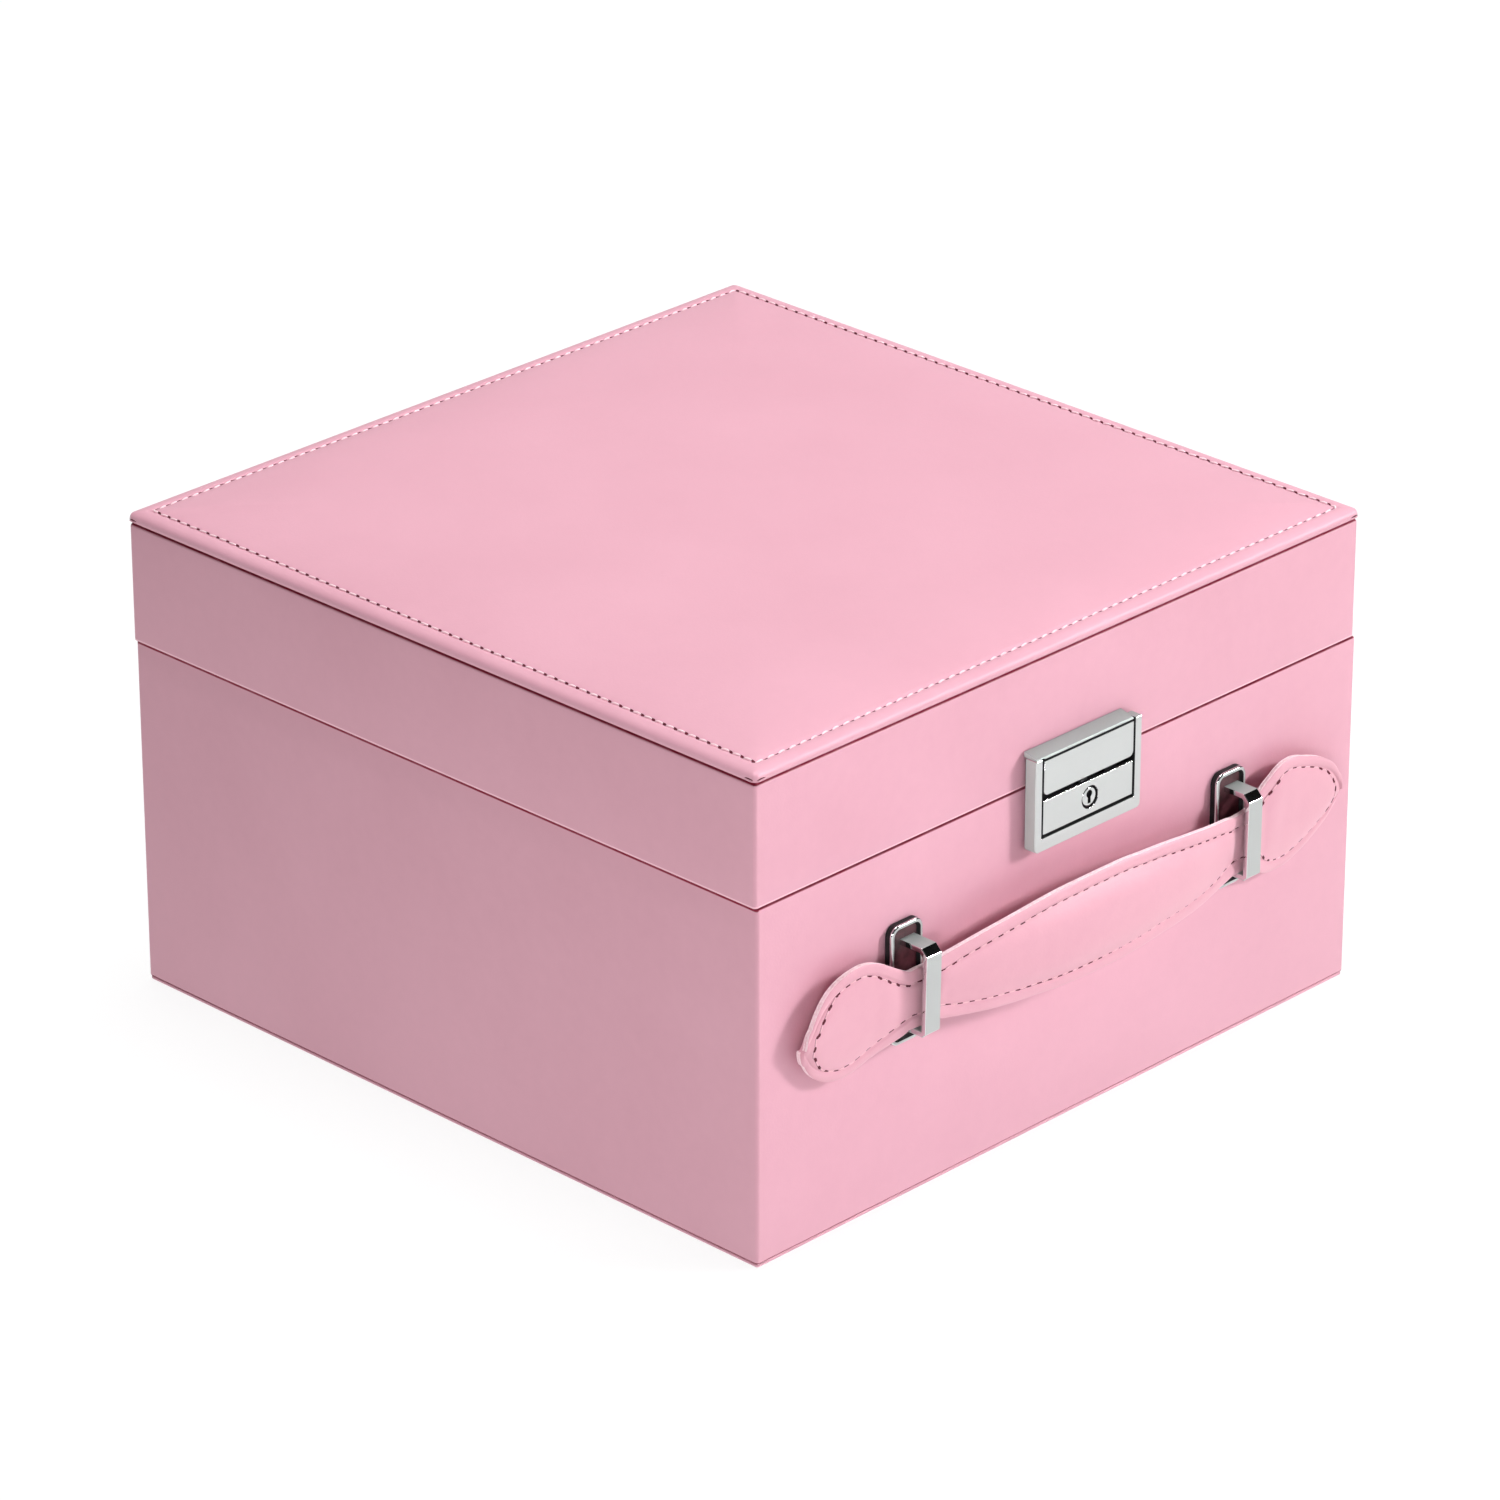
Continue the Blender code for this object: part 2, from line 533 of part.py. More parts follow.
# ================================================================ HANDLE BRACKETS
for sgn, side in ((-1, "left"), (1, "right")):
    bx = STRAP_X + sgn * BAR_X
    px = bx + BRACKET_DX
    bm = bmesh.new()
    loops = []
    for inset, d in ((0.0, 0.3), (0.0, 2.1), (0.4, 2.5), (1.5, 2.5), (2.0, 1.9)):
        pts = rr_loop(BRACKET_HX - inset, BRACKET_HZ - inset, max(3.2 - inset, 1.2), 4)
        loops.append([(px + p[0], fy(d), BRACKET_Z + p[1]) for p in pts])
    loft(bm, loops)
    br = mesh_object("bracket_" + side, bm, "chrome", smooth=35)
    dt, db, t = LOOP_TOP_D[side], LOOP_BOT_D[side], LOOP_T
    c_poly = [(fy(1.5), LOOP_Z0), (fy(db - 1.1), LOOP_Z0), (fy(db), LOOP_Z0 + 1.1), (fy(dt), LOOP_Z1 - 2.1),
              (fy(dt - 2.1), LOOP_Z1), (fy(1.5), LOOP_Z1), (fy(1.5), LOOP_Z1 - t), (fy(dt - 2.7), LOOP_Z1 - t),
              (fy(dt - t), LOOP_Z1 - t - 1.1), (fy(db - t), LOOP_Z0 + t), (fy(1.5), LOOP_Z0 + t)]
    lp = cutter("loop_" + side, lambda bm: prism_into(
        bm, c_poly, 'X', -LOOP_HALF_W, LOOP_HALF_W, c=(bx, 0.0, 0.0)))
    boolean(br, lp, 'UNION')
    holes = cutter("bracket_holes_" + side, lambda bm: [lathe_into(
        bm, [(1.5, fy(1.35)), (1.5, fy(0.0))], (px, 0, BRACKET_Z + t * 14.6), 'Y', 12) for t in (-1, 1)])
    boolean(br, holes)

# ================================================================ HANDLE STRAP
# the strap's outline: distance from its middle, half height, and height of its middle line, for each half
COMMON = [(0, 15.2, 0.0), (8, 15.1, 0.0), (16, 14.7, 0.0), (24, 13.9, -0.05), (32, 13.0, -0.35),
          (40, 11.9, -0.7), (48, 10.6, -1.0), (54, 9.5, -1.17), (58.0, 8.8, -1.2)]
LEFT = COMMON + [(65.8, 8.8, -1.2), (66.8, 8.95, -1.15), (68.5, 9.9, -1.2), (70.5, 10.8, -0.95),
                 (73, 12.0, -0.5), (76, 13.3, 0.0), (79, 14.45, 0.2), (82, 15.35, 0.1), (85, 15.85, -0.3),
                 (88, 15.8, -0.7), (91, 15.3, -1.0), (94, 14.4, -1.25), (97, 12.9, -1.6), (99.5, 10.8, -2.15),
                 (101.5, 8.5, -2.6), (103.5, 5.6, -2.9), (104.8, 3.4, -2.9), (105.4, 1.6, -2.9)]
RIGHT = COMMON + [(65.0, 8.85, -1.15), (66.6, 9.6, -0.5), (68.2, 11.2, -0.8), (70.5, 13.0, -1.2),
                  (73, 14.4, -1.2), (76, 15.7, -0.9), (79, 16.4, -0.7), (82, 16.5, -0.7), (85, 16.0, -0.75),
                  (88, 15.0, -0.85), (91, 13.75, -0.9), (94, 12.2, -0.95), (97, 10.3, -1.15),
                  (99.5, 8.3, -1.4), (101.5, 6.3, -1.6), (103.5, 3.7, -2.1), (104.8, 1.6, -2.3)]
# depth of the strap's inner face against distance from its middle
BACK = [(0, 10.3), (16, 10.1), (24, 9.9), (32, 9.5), (40, 8.8), (48, 7.5), (54, 6.5), (58.5, 6.0), (63.5, 5.7),
        (68.5, 5.0), (75, 4.0), (80, 3.4), (88, 3.1), (105.4, 3.1)]


def smooth_table(table, x):
    """Monotone cubic through the table (Catmull slopes)."""
    xs = [p[0] for p in table]
    ys = [p[1] for p in table]
    if x <= xs[0]:
        return ys[0]
    if x >= xs[-1]:
        return ys[-1]
    k = max(i for i in range(len(xs) - 1) if xs[i] <= x)
    h = xs[k + 1] - xs[k]
    s = (ys[k + 1] - ys[k]) / h

    def slope(i):
        if i == 0:
            return 0.0
        if i == len(xs) - 1:
            return (ys[i] - ys[i - 1]) / (xs[i] - xs[i - 1])
        a = (ys[i] - ys[i - 1]) / (xs[i] - xs[i - 1])
        b = (ys[i + 1] - ys[i]) / (xs[i + 1] - xs[i])
        return 0.0 if a * b <= 0 else 2 * a * b / (a + b)
    m0, m1 = slope(k), slope(k + 1)
    t = (x - xs[k]) / h
    return (ys[k] * (2 * t ** 3 - 3 * t ** 2 + 1) + h * m0 * (t ** 3 - 2 * t ** 2 + t)
            + ys[k + 1] * (-2 * t ** 3 + 3 * t ** 2) + h * m1 * (t ** 3 - t ** 2))


def smoothstep(a, b, x):
    t = min(max((x - a) / (b - a), 0.0), 1.0)
    return t * t * (3 - 2 * t)


PLY_BACK = 0.7
STATIONS = [0, 8, 16, 24, 32, 40, 47, 53, 58.0, 62.5, 66, 68.2, 70.5, 73, 76, 79, 82, 85.5, 89, 92.5, 96, 99,
            101.5, 103.4, 104.7]
stations = [-105.3] + [-s for s in reversed(STATIONS[1:])] + STATIONS


def outline(s, k):
    """Half height (k = 1) or middle line (k = 2) of the strap at s."""
    return smooth_table([(p[0], p[k]) for p in (LEFT if s < 0 else RIGHT)], abs(s))


def strap_loops(front):
    loops = []
    for s in stations:
        a = abs(s)
        w = outline(s, 1)
        lean = 1.25 * smoothstep(64, 80, a)           # the ends lean back against the case at the bottom
        tip = smoothstep(96, 105.4, a)
        lp = []
        if front:
            edge = 0.6
            mid = 1.5 + 1.5 * (1 - smoothstep(18, 52, a)) + 0.7 * smoothstep(70, 84, a)
            mid = edge + (mid - edge) * (1 - 0.7 * tip)
            for k in range(9):
                q = math.cos(math.pi * k / 8)             # +1 .. -1
                prof = 1 - abs(q) ** 3.0
                lp.append((q, PLY_BACK + GAP + edge + (mid - edge) * prof))
            for q in (-1.0, -0.5, 0.0, 0.5, 1.0):
                lp.append((q, PLY_BACK + GAP))
        else:
            for q in (1.0, 0.5, 0.0, -0.5, -1.0):
                lp.append((q, PLY_BACK))
            for q in (-1.0, -0.5, 0.0, 0.5, 1.0):
                lp.append((q, 0.0))
        d0 = smooth_table(BACK, a)
        loops.append([(STRAP_X + s, fy(d0 + lean * q + d), STRAP_Z + outline(s, 2) + q * w) for q, d in lp])
    return loops


strap_bits = []
for front, nm in ((True, "strap_front_ply"), (False, "strap_back_ply")):
    bm = bmesh.new()
    loft(bm, strap_loops(front))
    strap_bits.append(mesh_object(nm, bm, "leather_strap", smooth=50))

# ================================================================ TRAY
tray_bits = []
tray_bits.append(rect_cup("tray_shell",
                          [(0.5, TRAY_Z0), (0.0, TRAY_Z0 + 0.5), (0.0, TRAY_Z1 - 0.5), (0.5, TRAY_Z1),
                           (2.5, TRAY_Z1), (3.0, TRAY_Z1 - 0.5), (3.0, TRAY_Z0 + 2.8)],
                          TRAY_HX, TRAY_HY, 2.0, "velvet"))
tray_bits.append(rect_cup("tray_lining",
                          [(3.3, TRAY_Z0 + 3.1), (3.3, 94.2), (3.6, 94.6), (4.1, 94.6), (4.4, 94.2),
                           (4.4, TRAY_Z0 + 4.2)],
                          TRAY_HX, TRAY_HY, 2.0, "velvet"))
TX = TRAY_HX - 4.4 - GAP
TY = TRAY_HY - 4.4 - GAP
TF = TRAY_Z0 + 4.2 + GAP                # underside of what stands on the tray's floor
TD = 92.0
tray_bits.append(block("tray_divider_long", -TX, TX, -1.3, 1.3, TF, TD, "velvet", 0.8))
tray_bits.append(block("tray_divider_front", 30.0, 32.6, -TY, -1.6, TF, TD, "velvet", 0.8))
tray_bits.append(block("tray_divider_back", -21.3, -18.7, 1.6, TY, TF, TD, "velvet", 0.8))
# padded ring rolls, side by side, their tops rounded
ROLLS = 5
x0, x1 = -TX, 29.7
span = (TY - 1.6 - GAP) / ROLLS
roll_w = span - GAP
roll_h = 20.0
for k in range(ROLLS):
    yc = -1.6 - GAP / 2 - span * (k + 0.5)
    sec = [(-roll_w / 2 + 0.6, 0.0), (-roll_w / 2, 0.8), (-roll_w / 2, roll_h - roll_w / 2)]
    for i in range(1, 8):
        a = math.pi * (1 - i / 8)
        sec.append((roll_w / 2 * math.cos(a), roll_h - roll_w / 2 + roll_w / 2 * math.sin(a)))
    sec += [(roll_w / 2, roll_h - roll_w / 2), (roll_w / 2, 0.8), (roll_w / 2 - 0.6, 0.0)]
    bm = bmesh.new()
    loops = []
    for xx, k2 in ((x0, 0.93), (x0 + 1.2, 1.0), (x1 - 1.2, 1.0), (x1, 0.93)):
        loops.append([(xx, yc + u * k2, TF + v * k2) for u, v in sec])
    loft(bm, loops)
    tray_bits.append(mesh_object("ring_roll_%d" % (k + 1), bm, "velvet", smooth=50))
for sgn, side in ((-1, "left"), (1, "right")):
    tab = []
    hw, top, low = 7.0, 96.3, 80.0
    for i in range(9):
        a = math.pi * i / 8
        tab.append((50.0 + hw * math.cos(a), top - hw + hw * math.sin(a)))
    tab += [(50.0 - hw, low), (50.0 + hw, low)]
    xa = sgn * (TX - 0.1)
    bm = bmesh.new()
    prism_into(bm, tab, 'X', min(xa, xa - sgn * 1.3), max(xa, xa - sgn * 1.3))
    tray_bits.append(mesh_object("tray_pull_tab_" + side, bm, "leather"))


# ================================================================ PIVOTS
def pivot(name, at, bits):
    e = bpy.data.objects.new(name, None)
    e.empty_display_size = 0.01
    e.location = Vector(at) * MM
    PARTS.objects.link(e)
    for ob in bits:
        ob.parent = e
        ob.location = ob.location - e.location
    return e


pivot("lid_pivot", (0.0, AXIS_Y, AXIS_Z), lid_bits)
pivot("tray_pivot", (0.0, 0.0, TRAY_Z0), tray_bits)
pivot("strap_pivot", (STRAP_X, fy(6.0), STRAP_Z), strap_bits)
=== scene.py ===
# Looks for the leather jewellery case: smooth pink leather, thread, polished metal, velvet and glass.
# Lengths are worked out in millimetres and placed in metres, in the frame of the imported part.
import bpy
import bmesh
import json
import math
from mathutils import Matrix, Vector, noise
from mathutils.bvhtree import BVHTree


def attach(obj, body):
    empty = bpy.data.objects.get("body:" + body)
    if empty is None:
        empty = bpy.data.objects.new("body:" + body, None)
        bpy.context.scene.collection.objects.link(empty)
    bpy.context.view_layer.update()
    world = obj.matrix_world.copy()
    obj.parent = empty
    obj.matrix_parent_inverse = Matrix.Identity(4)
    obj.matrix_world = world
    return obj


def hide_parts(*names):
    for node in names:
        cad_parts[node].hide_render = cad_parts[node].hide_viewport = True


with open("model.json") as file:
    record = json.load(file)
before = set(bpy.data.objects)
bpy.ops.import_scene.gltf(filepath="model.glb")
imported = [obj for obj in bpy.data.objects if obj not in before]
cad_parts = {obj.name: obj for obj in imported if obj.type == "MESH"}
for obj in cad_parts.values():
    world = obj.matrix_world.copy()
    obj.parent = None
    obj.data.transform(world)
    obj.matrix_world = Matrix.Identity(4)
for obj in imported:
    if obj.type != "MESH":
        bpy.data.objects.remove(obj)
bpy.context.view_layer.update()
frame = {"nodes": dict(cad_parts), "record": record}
NODES = frame["nodes"]
MM = 0.001

# ------------------------------------------------------------------ sizes shared with the part (mm)
HX, HY = 115.0, 116.2
R_BODY = 1.1
SEAM_LO, SEAM_HI, LID_TOP = 101.6, 102.0, 136.2
LEATHER, WALL, GAP = 1.0, 6.0, 0.3
AXIS_Y, AXIS_Z = HY + 2.3, 101.8
HINGE_X, HINGE_HALF = 62.0, 14.0
LOCK_X, LOCK_HALF, LOCK_Z0, LOCK_Z1 = 3.1, 20.4, 84.4, 110.8
PLUG_X, PLUG_Z, PLUG_R = LOCK_X + 0.9, 93.7, 2.6
STRAP_X, STRAP_Z, BAR_X = 0.95, 62.8, 62.65
BRACKET_Z, BRACKET_DX = 63.6, -0.85
LID_DX, BASE_DX = -0.4, 0.4      # the lid sits a hair to the left of the base
INN = 2 * LEATHER + 2 * GAP + WALL
LIN = INN + GAP
IX, IY = HX - LIN - 1.0, HY - LIN - 1.0
TRAY_HX, TRAY_HY, TRAY_Z0, TRAY_Z1 = 104.3, 105.5, 60.3, 95.7


def fy(d):
    return -HY - d


# ------------------------------------------------------------------ materials
def new_mat(name):
    m = bpy.data.materials.new(name)
    m.use_nodes = True
    nt = m.node_tree
    return m, nt, nt.nodes["Principled BSDF"]


def node(nt, kind, **props):
    n = nt.nodes.new(kind)
    for k, v in props.items():
        setattr(n, k, v)
    return n


def noise_tex(nt, vec, scale, detail=3.0, rough=0.5, distortion=0.0):
    n = node(nt, "ShaderNodeTexNoise")
    n.inputs["Scale"].default_value = scale
    n.inputs["Detail"].default_value = detail
    n.inputs["Roughness"].default_value = rough
    n.inputs["Distortion"].default_value = distortion
    nt.links.new(vec, n.inputs["Vector"])
    return n.outputs["Fac"]


def ramp(nt, fac, stops):
    r = node(nt, "ShaderNodeValToRGB")
    els = r.color_ramp.elements
    while len(els) < len(stops):
        els.new(0.5)
    for e, (p, c) in zip(els, stops):
        e.position = p
        e.color = (c[0], c[1], c[2], 1.0)
    nt.links.new(fac, r.inputs["Fac"])
    return r.outputs["Color"]


def remap(nt, fac, a, b, lo, hi):
    r = node(nt, "ShaderNodeMapRange")
    r.inputs["From Min"].default_value = a
    r.inputs["From Max"].default_value = b
    r.inputs["To Min"].default_value = lo
    r.inputs["To Max"].default_value = hi
    nt.links.new(fac, r.inputs["Value"])
    return r.outputs["Result"]


def math_node(nt, op, a, b):
    n = node(nt, "ShaderNodeMath", operation=op)
    for i, v in enumerate((a, b)):
        if isinstance(v, (int, float)):
            n.inputs[i].default_value = v
        else:
            nt.links.new(v, n.inputs[i])
    return n.outputs[0]


def bump(nt, height, strength, dist, normal=None):
    b = node(nt, "ShaderNodeBump")
    b.inputs["Strength"].default_value = strength
    b.inputs["Distance"].default_value = dist
    nt.links.new(height, b.inputs["Height"])
    if normal is not None:
        nt.links.new(normal, b.inputs["Normal"])
    return b.outputs["Normal"]


def leather_mat(name, dark, light, rough=0.42, grain=0.16, soft=0.25, painted_light_bands=()):
    """Satin coated leather: fine pebbled grain, faint mottling, a slow unevenness under the surface."""
    m, nt, b = new_mat(name)
    co = node(nt, "ShaderNodeTexCoord").outputs["Object"]
    slow = noise_tex(nt, co, 22.0, 2.0, 0.5)
    mid = noise_tex(nt, co, 260.0, 3.0, 0.55)
    mix = math_node(nt, 'ADD', math_node(nt, 'MULTIPLY', slow, 0.65), math_node(nt, 'MULTIPLY', mid, 0.35))
    nt.links.new(ramp(nt, mix, [(0.3, dark), (0.7, light)]), b.inputs["Base Color"])
    vor = node(nt, "ShaderNodeTexVoronoi", feature='SMOOTH_F1')
    vor.inputs["Scale"].default_value = 1500.0
    vor.inputs["Smoothness"].default_value = 0.6
    nt.links.new(co, vor.inputs["Vector"])
    fine = noise_tex(nt, co, 3200.0, 2.0, 0.6)
    cells = math_node(nt, 'ADD', vor.outputs["Distance"], math_node(nt, 'MULTIPLY', fine, 0.35))
    n1 = bump(nt, noise_tex(nt, co, 55.0, 2.0, 0.45), soft, 0.0006)
    n2 = bump(nt, cells, grain, 0.00010, n1)
    nt.links.new(n2, b.inputs["Normal"])
    nt.links.new(remap(nt, mid, 0.3, 0.7, rough - 0.05, rough + 0.06), b.inputs["Roughness"])
    if painted_light_bands:
        # painted shade as a dark line along the seams and joints, and a painted highlight on the lid's lip beside the
        # seam, only on the outermost skin of the case
        sep = node(nt, "ShaderNodeSeparateXYZ")
        nt.links.new(co, sep.inputs[0])
        out_x = math_node(nt, 'SUBTRACT', math_node(nt, 'ABSOLUTE', sep.outputs[0], 0.0), HX * MM)
        out_y = math_node(nt, 'SUBTRACT', math_node(nt, 'ABSOLUTE', sep.outputs[1], 0.0), HY * MM)
        outer = remap(nt, math_node(nt, 'MAXIMUM', out_x, out_y), -0.0016, -0.0012, 0.0, 1.0)

        on_left = remap(nt, sep.outputs[0], -0.1138, -0.1142, 0.0, 0.00038)

        def band(z, reach):
            # on the left the lid overhangs the base a little, so the crease shows lower
            at = math_node(nt, 'ADD', sep.outputs[2], on_left) if z == 101.8 else sep.outputs[2]
            d = math_node(nt, 'ABSOLUTE', math_node(nt, 'SUBTRACT', at, z * MM), 0.0)
            k = remap(nt, d, reach * MM, reach * 0.6 * MM, 0.0, 1.0)
            return math_node(nt, 'MULTIPLY', k, outer)
        for z, reach, colour in painted_light_bands:
            painted_light_mask = math_node(nt, 'MULTIPLY', band(z, reach), remap(nt, mid, 0.25, 0.6, 0.82, 1.0))
            mx = node(nt, "ShaderNodeMix", data_type='RGBA')
            src = b.inputs["Base Color"].links[0].from_socket
            nt.links.new(painted_light_mask, mx.inputs["Factor"])
            nt.links.new(src, mx.inputs["A"])
            mx.inputs["B"].default_value = (colour[0], colour[1], colour[2], 1.0)
            nt.links.new(mx.outputs["Result"], b.inputs["Base Color"])
    b.inputs["Specular IOR Level"].default_value = 0.27
    b.inputs["Sheen Weight"].default_value = 0.08
    b.inputs["Sheen Roughness"].default_value = 0.5
    return m


def edge_mat(name, dark, light):
    """Cut leather edge: fibrous, paler, matt."""
    m, nt, b = new_mat(name)
    co = node(nt, "ShaderNodeTexCoord").outputs["Object"]
    n = noise_tex(nt, co, 1400.0, 4.0, 0.7)
    nt.links.new(ramp(nt, n, [(0.35, dark), (0.65, light)]), b.inputs["Base Color"])
    b.inputs["Roughness"].default_value = 0.75
    nt.links.new(bump(nt, n, 0.4, 0.0002), b.inputs["Normal"])
    return m


def chrome_mat(name, tint=(0.735, 0.745, 0.742), rough=0.07):
    """Polished plated metal with faint hairlines and haze."""
    m, nt, b = new_mat(name)
    co = node(nt, "ShaderNodeTexCoord").outputs["Object"]
    haze = noise_tex(nt, co, 120.0, 4.0, 0.6)
    mp = node(nt, "ShaderNodeMapping")
    mp.inputs["Scale"].default_value = (60.0, 2600.0, 2600.0)
    nt.links.new(co, mp.inputs["Vector"])
    hair = noise_tex(nt, mp.outputs["Vector"], 1.0, 3.0, 0.6)
    b.inputs["Metallic"].default_value = 1.0
    nt.links.new(ramp(nt, haze, [(0.3, tuple(c * 0.96 for c in tint)), (0.7, tint)]), b.inputs["Base Color"])
    nt.links.new(remap(nt, math_node(nt, 'ADD', math_node(nt, 'MULTIPLY', haze, 0.6),
                                     math_node(nt, 'MULTIPLY', hair, 0.4)), 0.3, 0.7, rough * 0.6, rough * 1.5),
                 b.inputs["Roughness"])
    nt.links.new(bump(nt, hair, 0.03, 0.00002), b.inputs["Normal"])
    return m


def satin_mat(name, tint, metal=0.35, rough=0.28):
    """Brushed and lacquered plating: soft, slightly cloudy grey."""
    m, nt, b = new_mat(name)
    co = node(nt, "ShaderNodeTexCoord").outputs["Object"]
    cloud = noise_tex(nt, co, 160.0, 4.0, 0.6)
    grainy = noise_tex(nt, co, 2400.0, 3.0, 0.7)
    mix = math_node(nt, 'ADD', math_node(nt, 'MULTIPLY', cloud, 0.6), math_node(nt, 'MULTIPLY', grainy, 0.4))
    nt.links.new(ramp(nt, mix, [(0.3, tuple(c * 0.975 for c in tint)), (0.7, tint)]), b.inputs["Base Color"])
    b.inputs["Metallic"].default_value = metal
    nt.links.new(remap(nt, mix, 0.3, 0.7, rough * 0.95, rough * 1.05), b.inputs["Roughness"])
    nt.links.new(bump(nt, grainy, 0.05, 0.00003), b.inputs["Normal"])
    return m


def velvet_mat(name, dark, light, sheen):
    """Short velvet pile: soft mottled nap and a pale rim."""
    m, nt, b = new_mat(name)
    co = node(nt, "ShaderNodeTexCoord").outputs["Object"]
    nap = noise_tex(nt, co, 35.0, 4.0, 0.6, 0.6)
    pile = noise_tex(nt, co, 2600.0, 2.0, 0.7)
    mix = math_node(nt, 'ADD', math_node(nt, 'MULTIPLY', nap, 0.7), math_node(nt, 'MULTIPLY', pile, 0.3))
    nt.links.new(ramp(nt, mix, [(0.32, dark), (0.68, light)]), b.inputs["Base Color"])
    b.inputs["Roughness"].default_value = 0.95
    b.inputs["Specular IOR Level"].default_value = 0.15
    b.inputs["Sheen Weight"].default_value = 0.7
    b.inputs["Sheen Roughness"].default_value = 0.35
    b.inputs["Sheen Tint"].default_value = (sheen[0], sheen[1], sheen[2], 1.0)
    nt.links.new(bump(nt, pile, 0.5, 0.0003, bump(nt, nap, 0.3, 0.0008)), b.inputs["Normal"])
    return m


def board_mat(name):
    m, nt, b = new_mat(name)
    co = node(nt, "ShaderNodeTexCoord").outputs["Object"]
    n = noise_tex(nt, co, 900.0, 5.0, 0.7)
    nt.links.new(ramp(nt, n, [(0.3, (0.42, 0.29, 0.17)), (0.7, (0.60, 0.45, 0.29))]), b.inputs["Base Color"])
    b.inputs["Roughness"].default_value = 0.85
    nt.links.new(bump(nt, n, 0.3, 0.0002), b.inputs["Normal"])
    return m


def plain_noise_mat(name, dark, light, rough, scale, metal=0.0):
    m, nt, b = new_mat(name)
    co = node(nt, "ShaderNodeTexCoord").outputs["Object"]
    n = noise_tex(nt, co, scale, 4.0, 0.6)
    nt.links.new(ramp(nt, n, [(0.3, dark), (0.7, light)]), b.inputs["Base Color"])
    nt.links.new(remap(nt, n, 0.3, 0.7, rough * 0.85, rough * 1.15), b.inputs["Roughness"])
    b.inputs["Metallic"].default_value = metal
    return m


PINK_D, PINK_L = (0.68, 0.345, 0.426), (0.72, 0.374, 0.459)
# the dark seam colour is painted shade for the lines at the lid seam, under the top panel and along the bottom board;
# the pale lip colour is a painted highlight on the lid's lower edge
SEAM_PAINTED_SHADE, LIP_PAINTED_HIGHLIGHT = (0.26, 0.009, 0.038), (0.92, 0.54, 0.625)
M_LEATHER = leather_mat("pink_leather", PINK_D, PINK_L,
                        painted_light_bands=((102.50, 0.24, LIP_PAINTED_HIGHLIGHT), (101.8, 0.50, SEAM_PAINTED_SHADE), (136.30, 0.55, SEAM_PAINTED_SHADE),
                                 (1.35, 0.25, SEAM_PAINTED_SHADE)))
M_TOP = leather_mat("pink_leather_top", PINK_D, PINK_L, rough=0.40, grain=0.14, soft=0.2,
                    painted_light_bands=((136.50, 0.42, SEAM_PAINTED_SHADE),))
M_STRAP = leather_mat("pink_leather_strap", (0.685, 0.345, 0.42), (0.73, 0.38, 0.455), rough=0.40, grain=0.14, soft=0.35)
M_EDGE = edge_mat("leather_cut_edge", (0.84, 0.58, 0.63), (0.98, 0.82, 0.85))
M_THREAD = plain_noise_mat("thread", (0.90, 0.60, 0.66), (1.0, 0.80, 0.84), 0.55, 2500.0)
M_THREAD_STRAP = plain_noise_mat("strap_thread", (0.70, 0.35, 0.42), (0.88, 0.56, 0.62), 0.6, 2500.0)
# near-black painted shade for the needle holes, the strips under the threads and the creases of the corner tucks
M_HOLE_PAINTED_SHADE = plain_noise_mat("needle_hole_painted_shade", (0.075, 0.006, 0.016), (0.13, 0.010, 0.026), 0.95, 900.0)
M_RECESS = plain_noise_mat("unlit_recess", (0.010, 0.010, 0.011), (0.03, 0.03, 0.032), 0.6, 500.0, 0.6)
M_CHROME = chrome_mat("polished_chrome")
M_SATIN = satin_mat("satin_plating", (0.525, 0.540, 0.534), 0.1, 0.34)
# copies of the plating chosen by face direction, as painted light and shade: a darker one for the bracket bars' fronts,
# a tinted one for left-facing sides and a darker one for top faces
M_SATIN_BAR_PAINTED_SHADE = satin_mat("satin_plating_bar_painted_shade", (0.445, 0.462, 0.455), 0.12, 0.34)
M_SATIN_SIDE_PAINTED_LIGHT = satin_mat("satin_plating_side_painted_light", (0.52, 0.59, 0.565), 0.02, 0.4)
M_SATIN_TOP_PAINTED_SHADE = satin_mat("satin_plating_top_painted_shade", (0.315, 0.352, 0.340), 0.03, 0.4)
# dark red-brown painted reflection and shade for the bracket plates' recess behind the loop
M_RECESS_PAINTED_REFLECTION = plain_noise_mat("recess_painted_reflection", (0.035, 0.009, 0.012), (0.11, 0.030, 0.040), 0.36, 420.0, 0.15)
M_STEEL = plain_noise_mat("zinc_steel", (0.45, 0.45, 0.46), (0.62, 0.62, 0.63), 0.32, 700.0, 1.0)
M_VELVET = velvet_mat("velvet", (0.52, 0.30, 0.31), (0.66, 0.43, 0.43), (1.0, 0.88, 0.86))
M_BOARD = board_mat("fibreboard")
M_FOAM = plain_noise_mat("foam", (0.70, 0.67, 0.60), (0.85, 0.82, 0.75), 0.95, 1200.0)
M_MIRROR = plain_noise_mat("mirror", (0.90, 0.92, 0.92), (0.93, 0.94, 0.94), 0.015, 60.0, 1.0)

SLOT_MAT = {"leather": M_LEATHER, "strap_leather": M_STRAP, "board": M_BOARD, "lining": M_VELVET,
            "foam": M_FOAM, "chrome": M_CHROME, "steel": M_STEEL, "mirror": M_MIRROR}
slot_of = {s["node"]: s["material_slot"] for s in frame["record"]["subparts"]}
for name, ob in NODES.items():
    mat = SLOT_MAT[slot_of[name]]
    if not ob.data.materials:
        ob.data.materials.append(mat)
    for s in ob.material_slots:
        s.material = mat
    ob.data.shade_smooth()
    ob.data.set_sharp_from_angle(angle=math.radians(32))


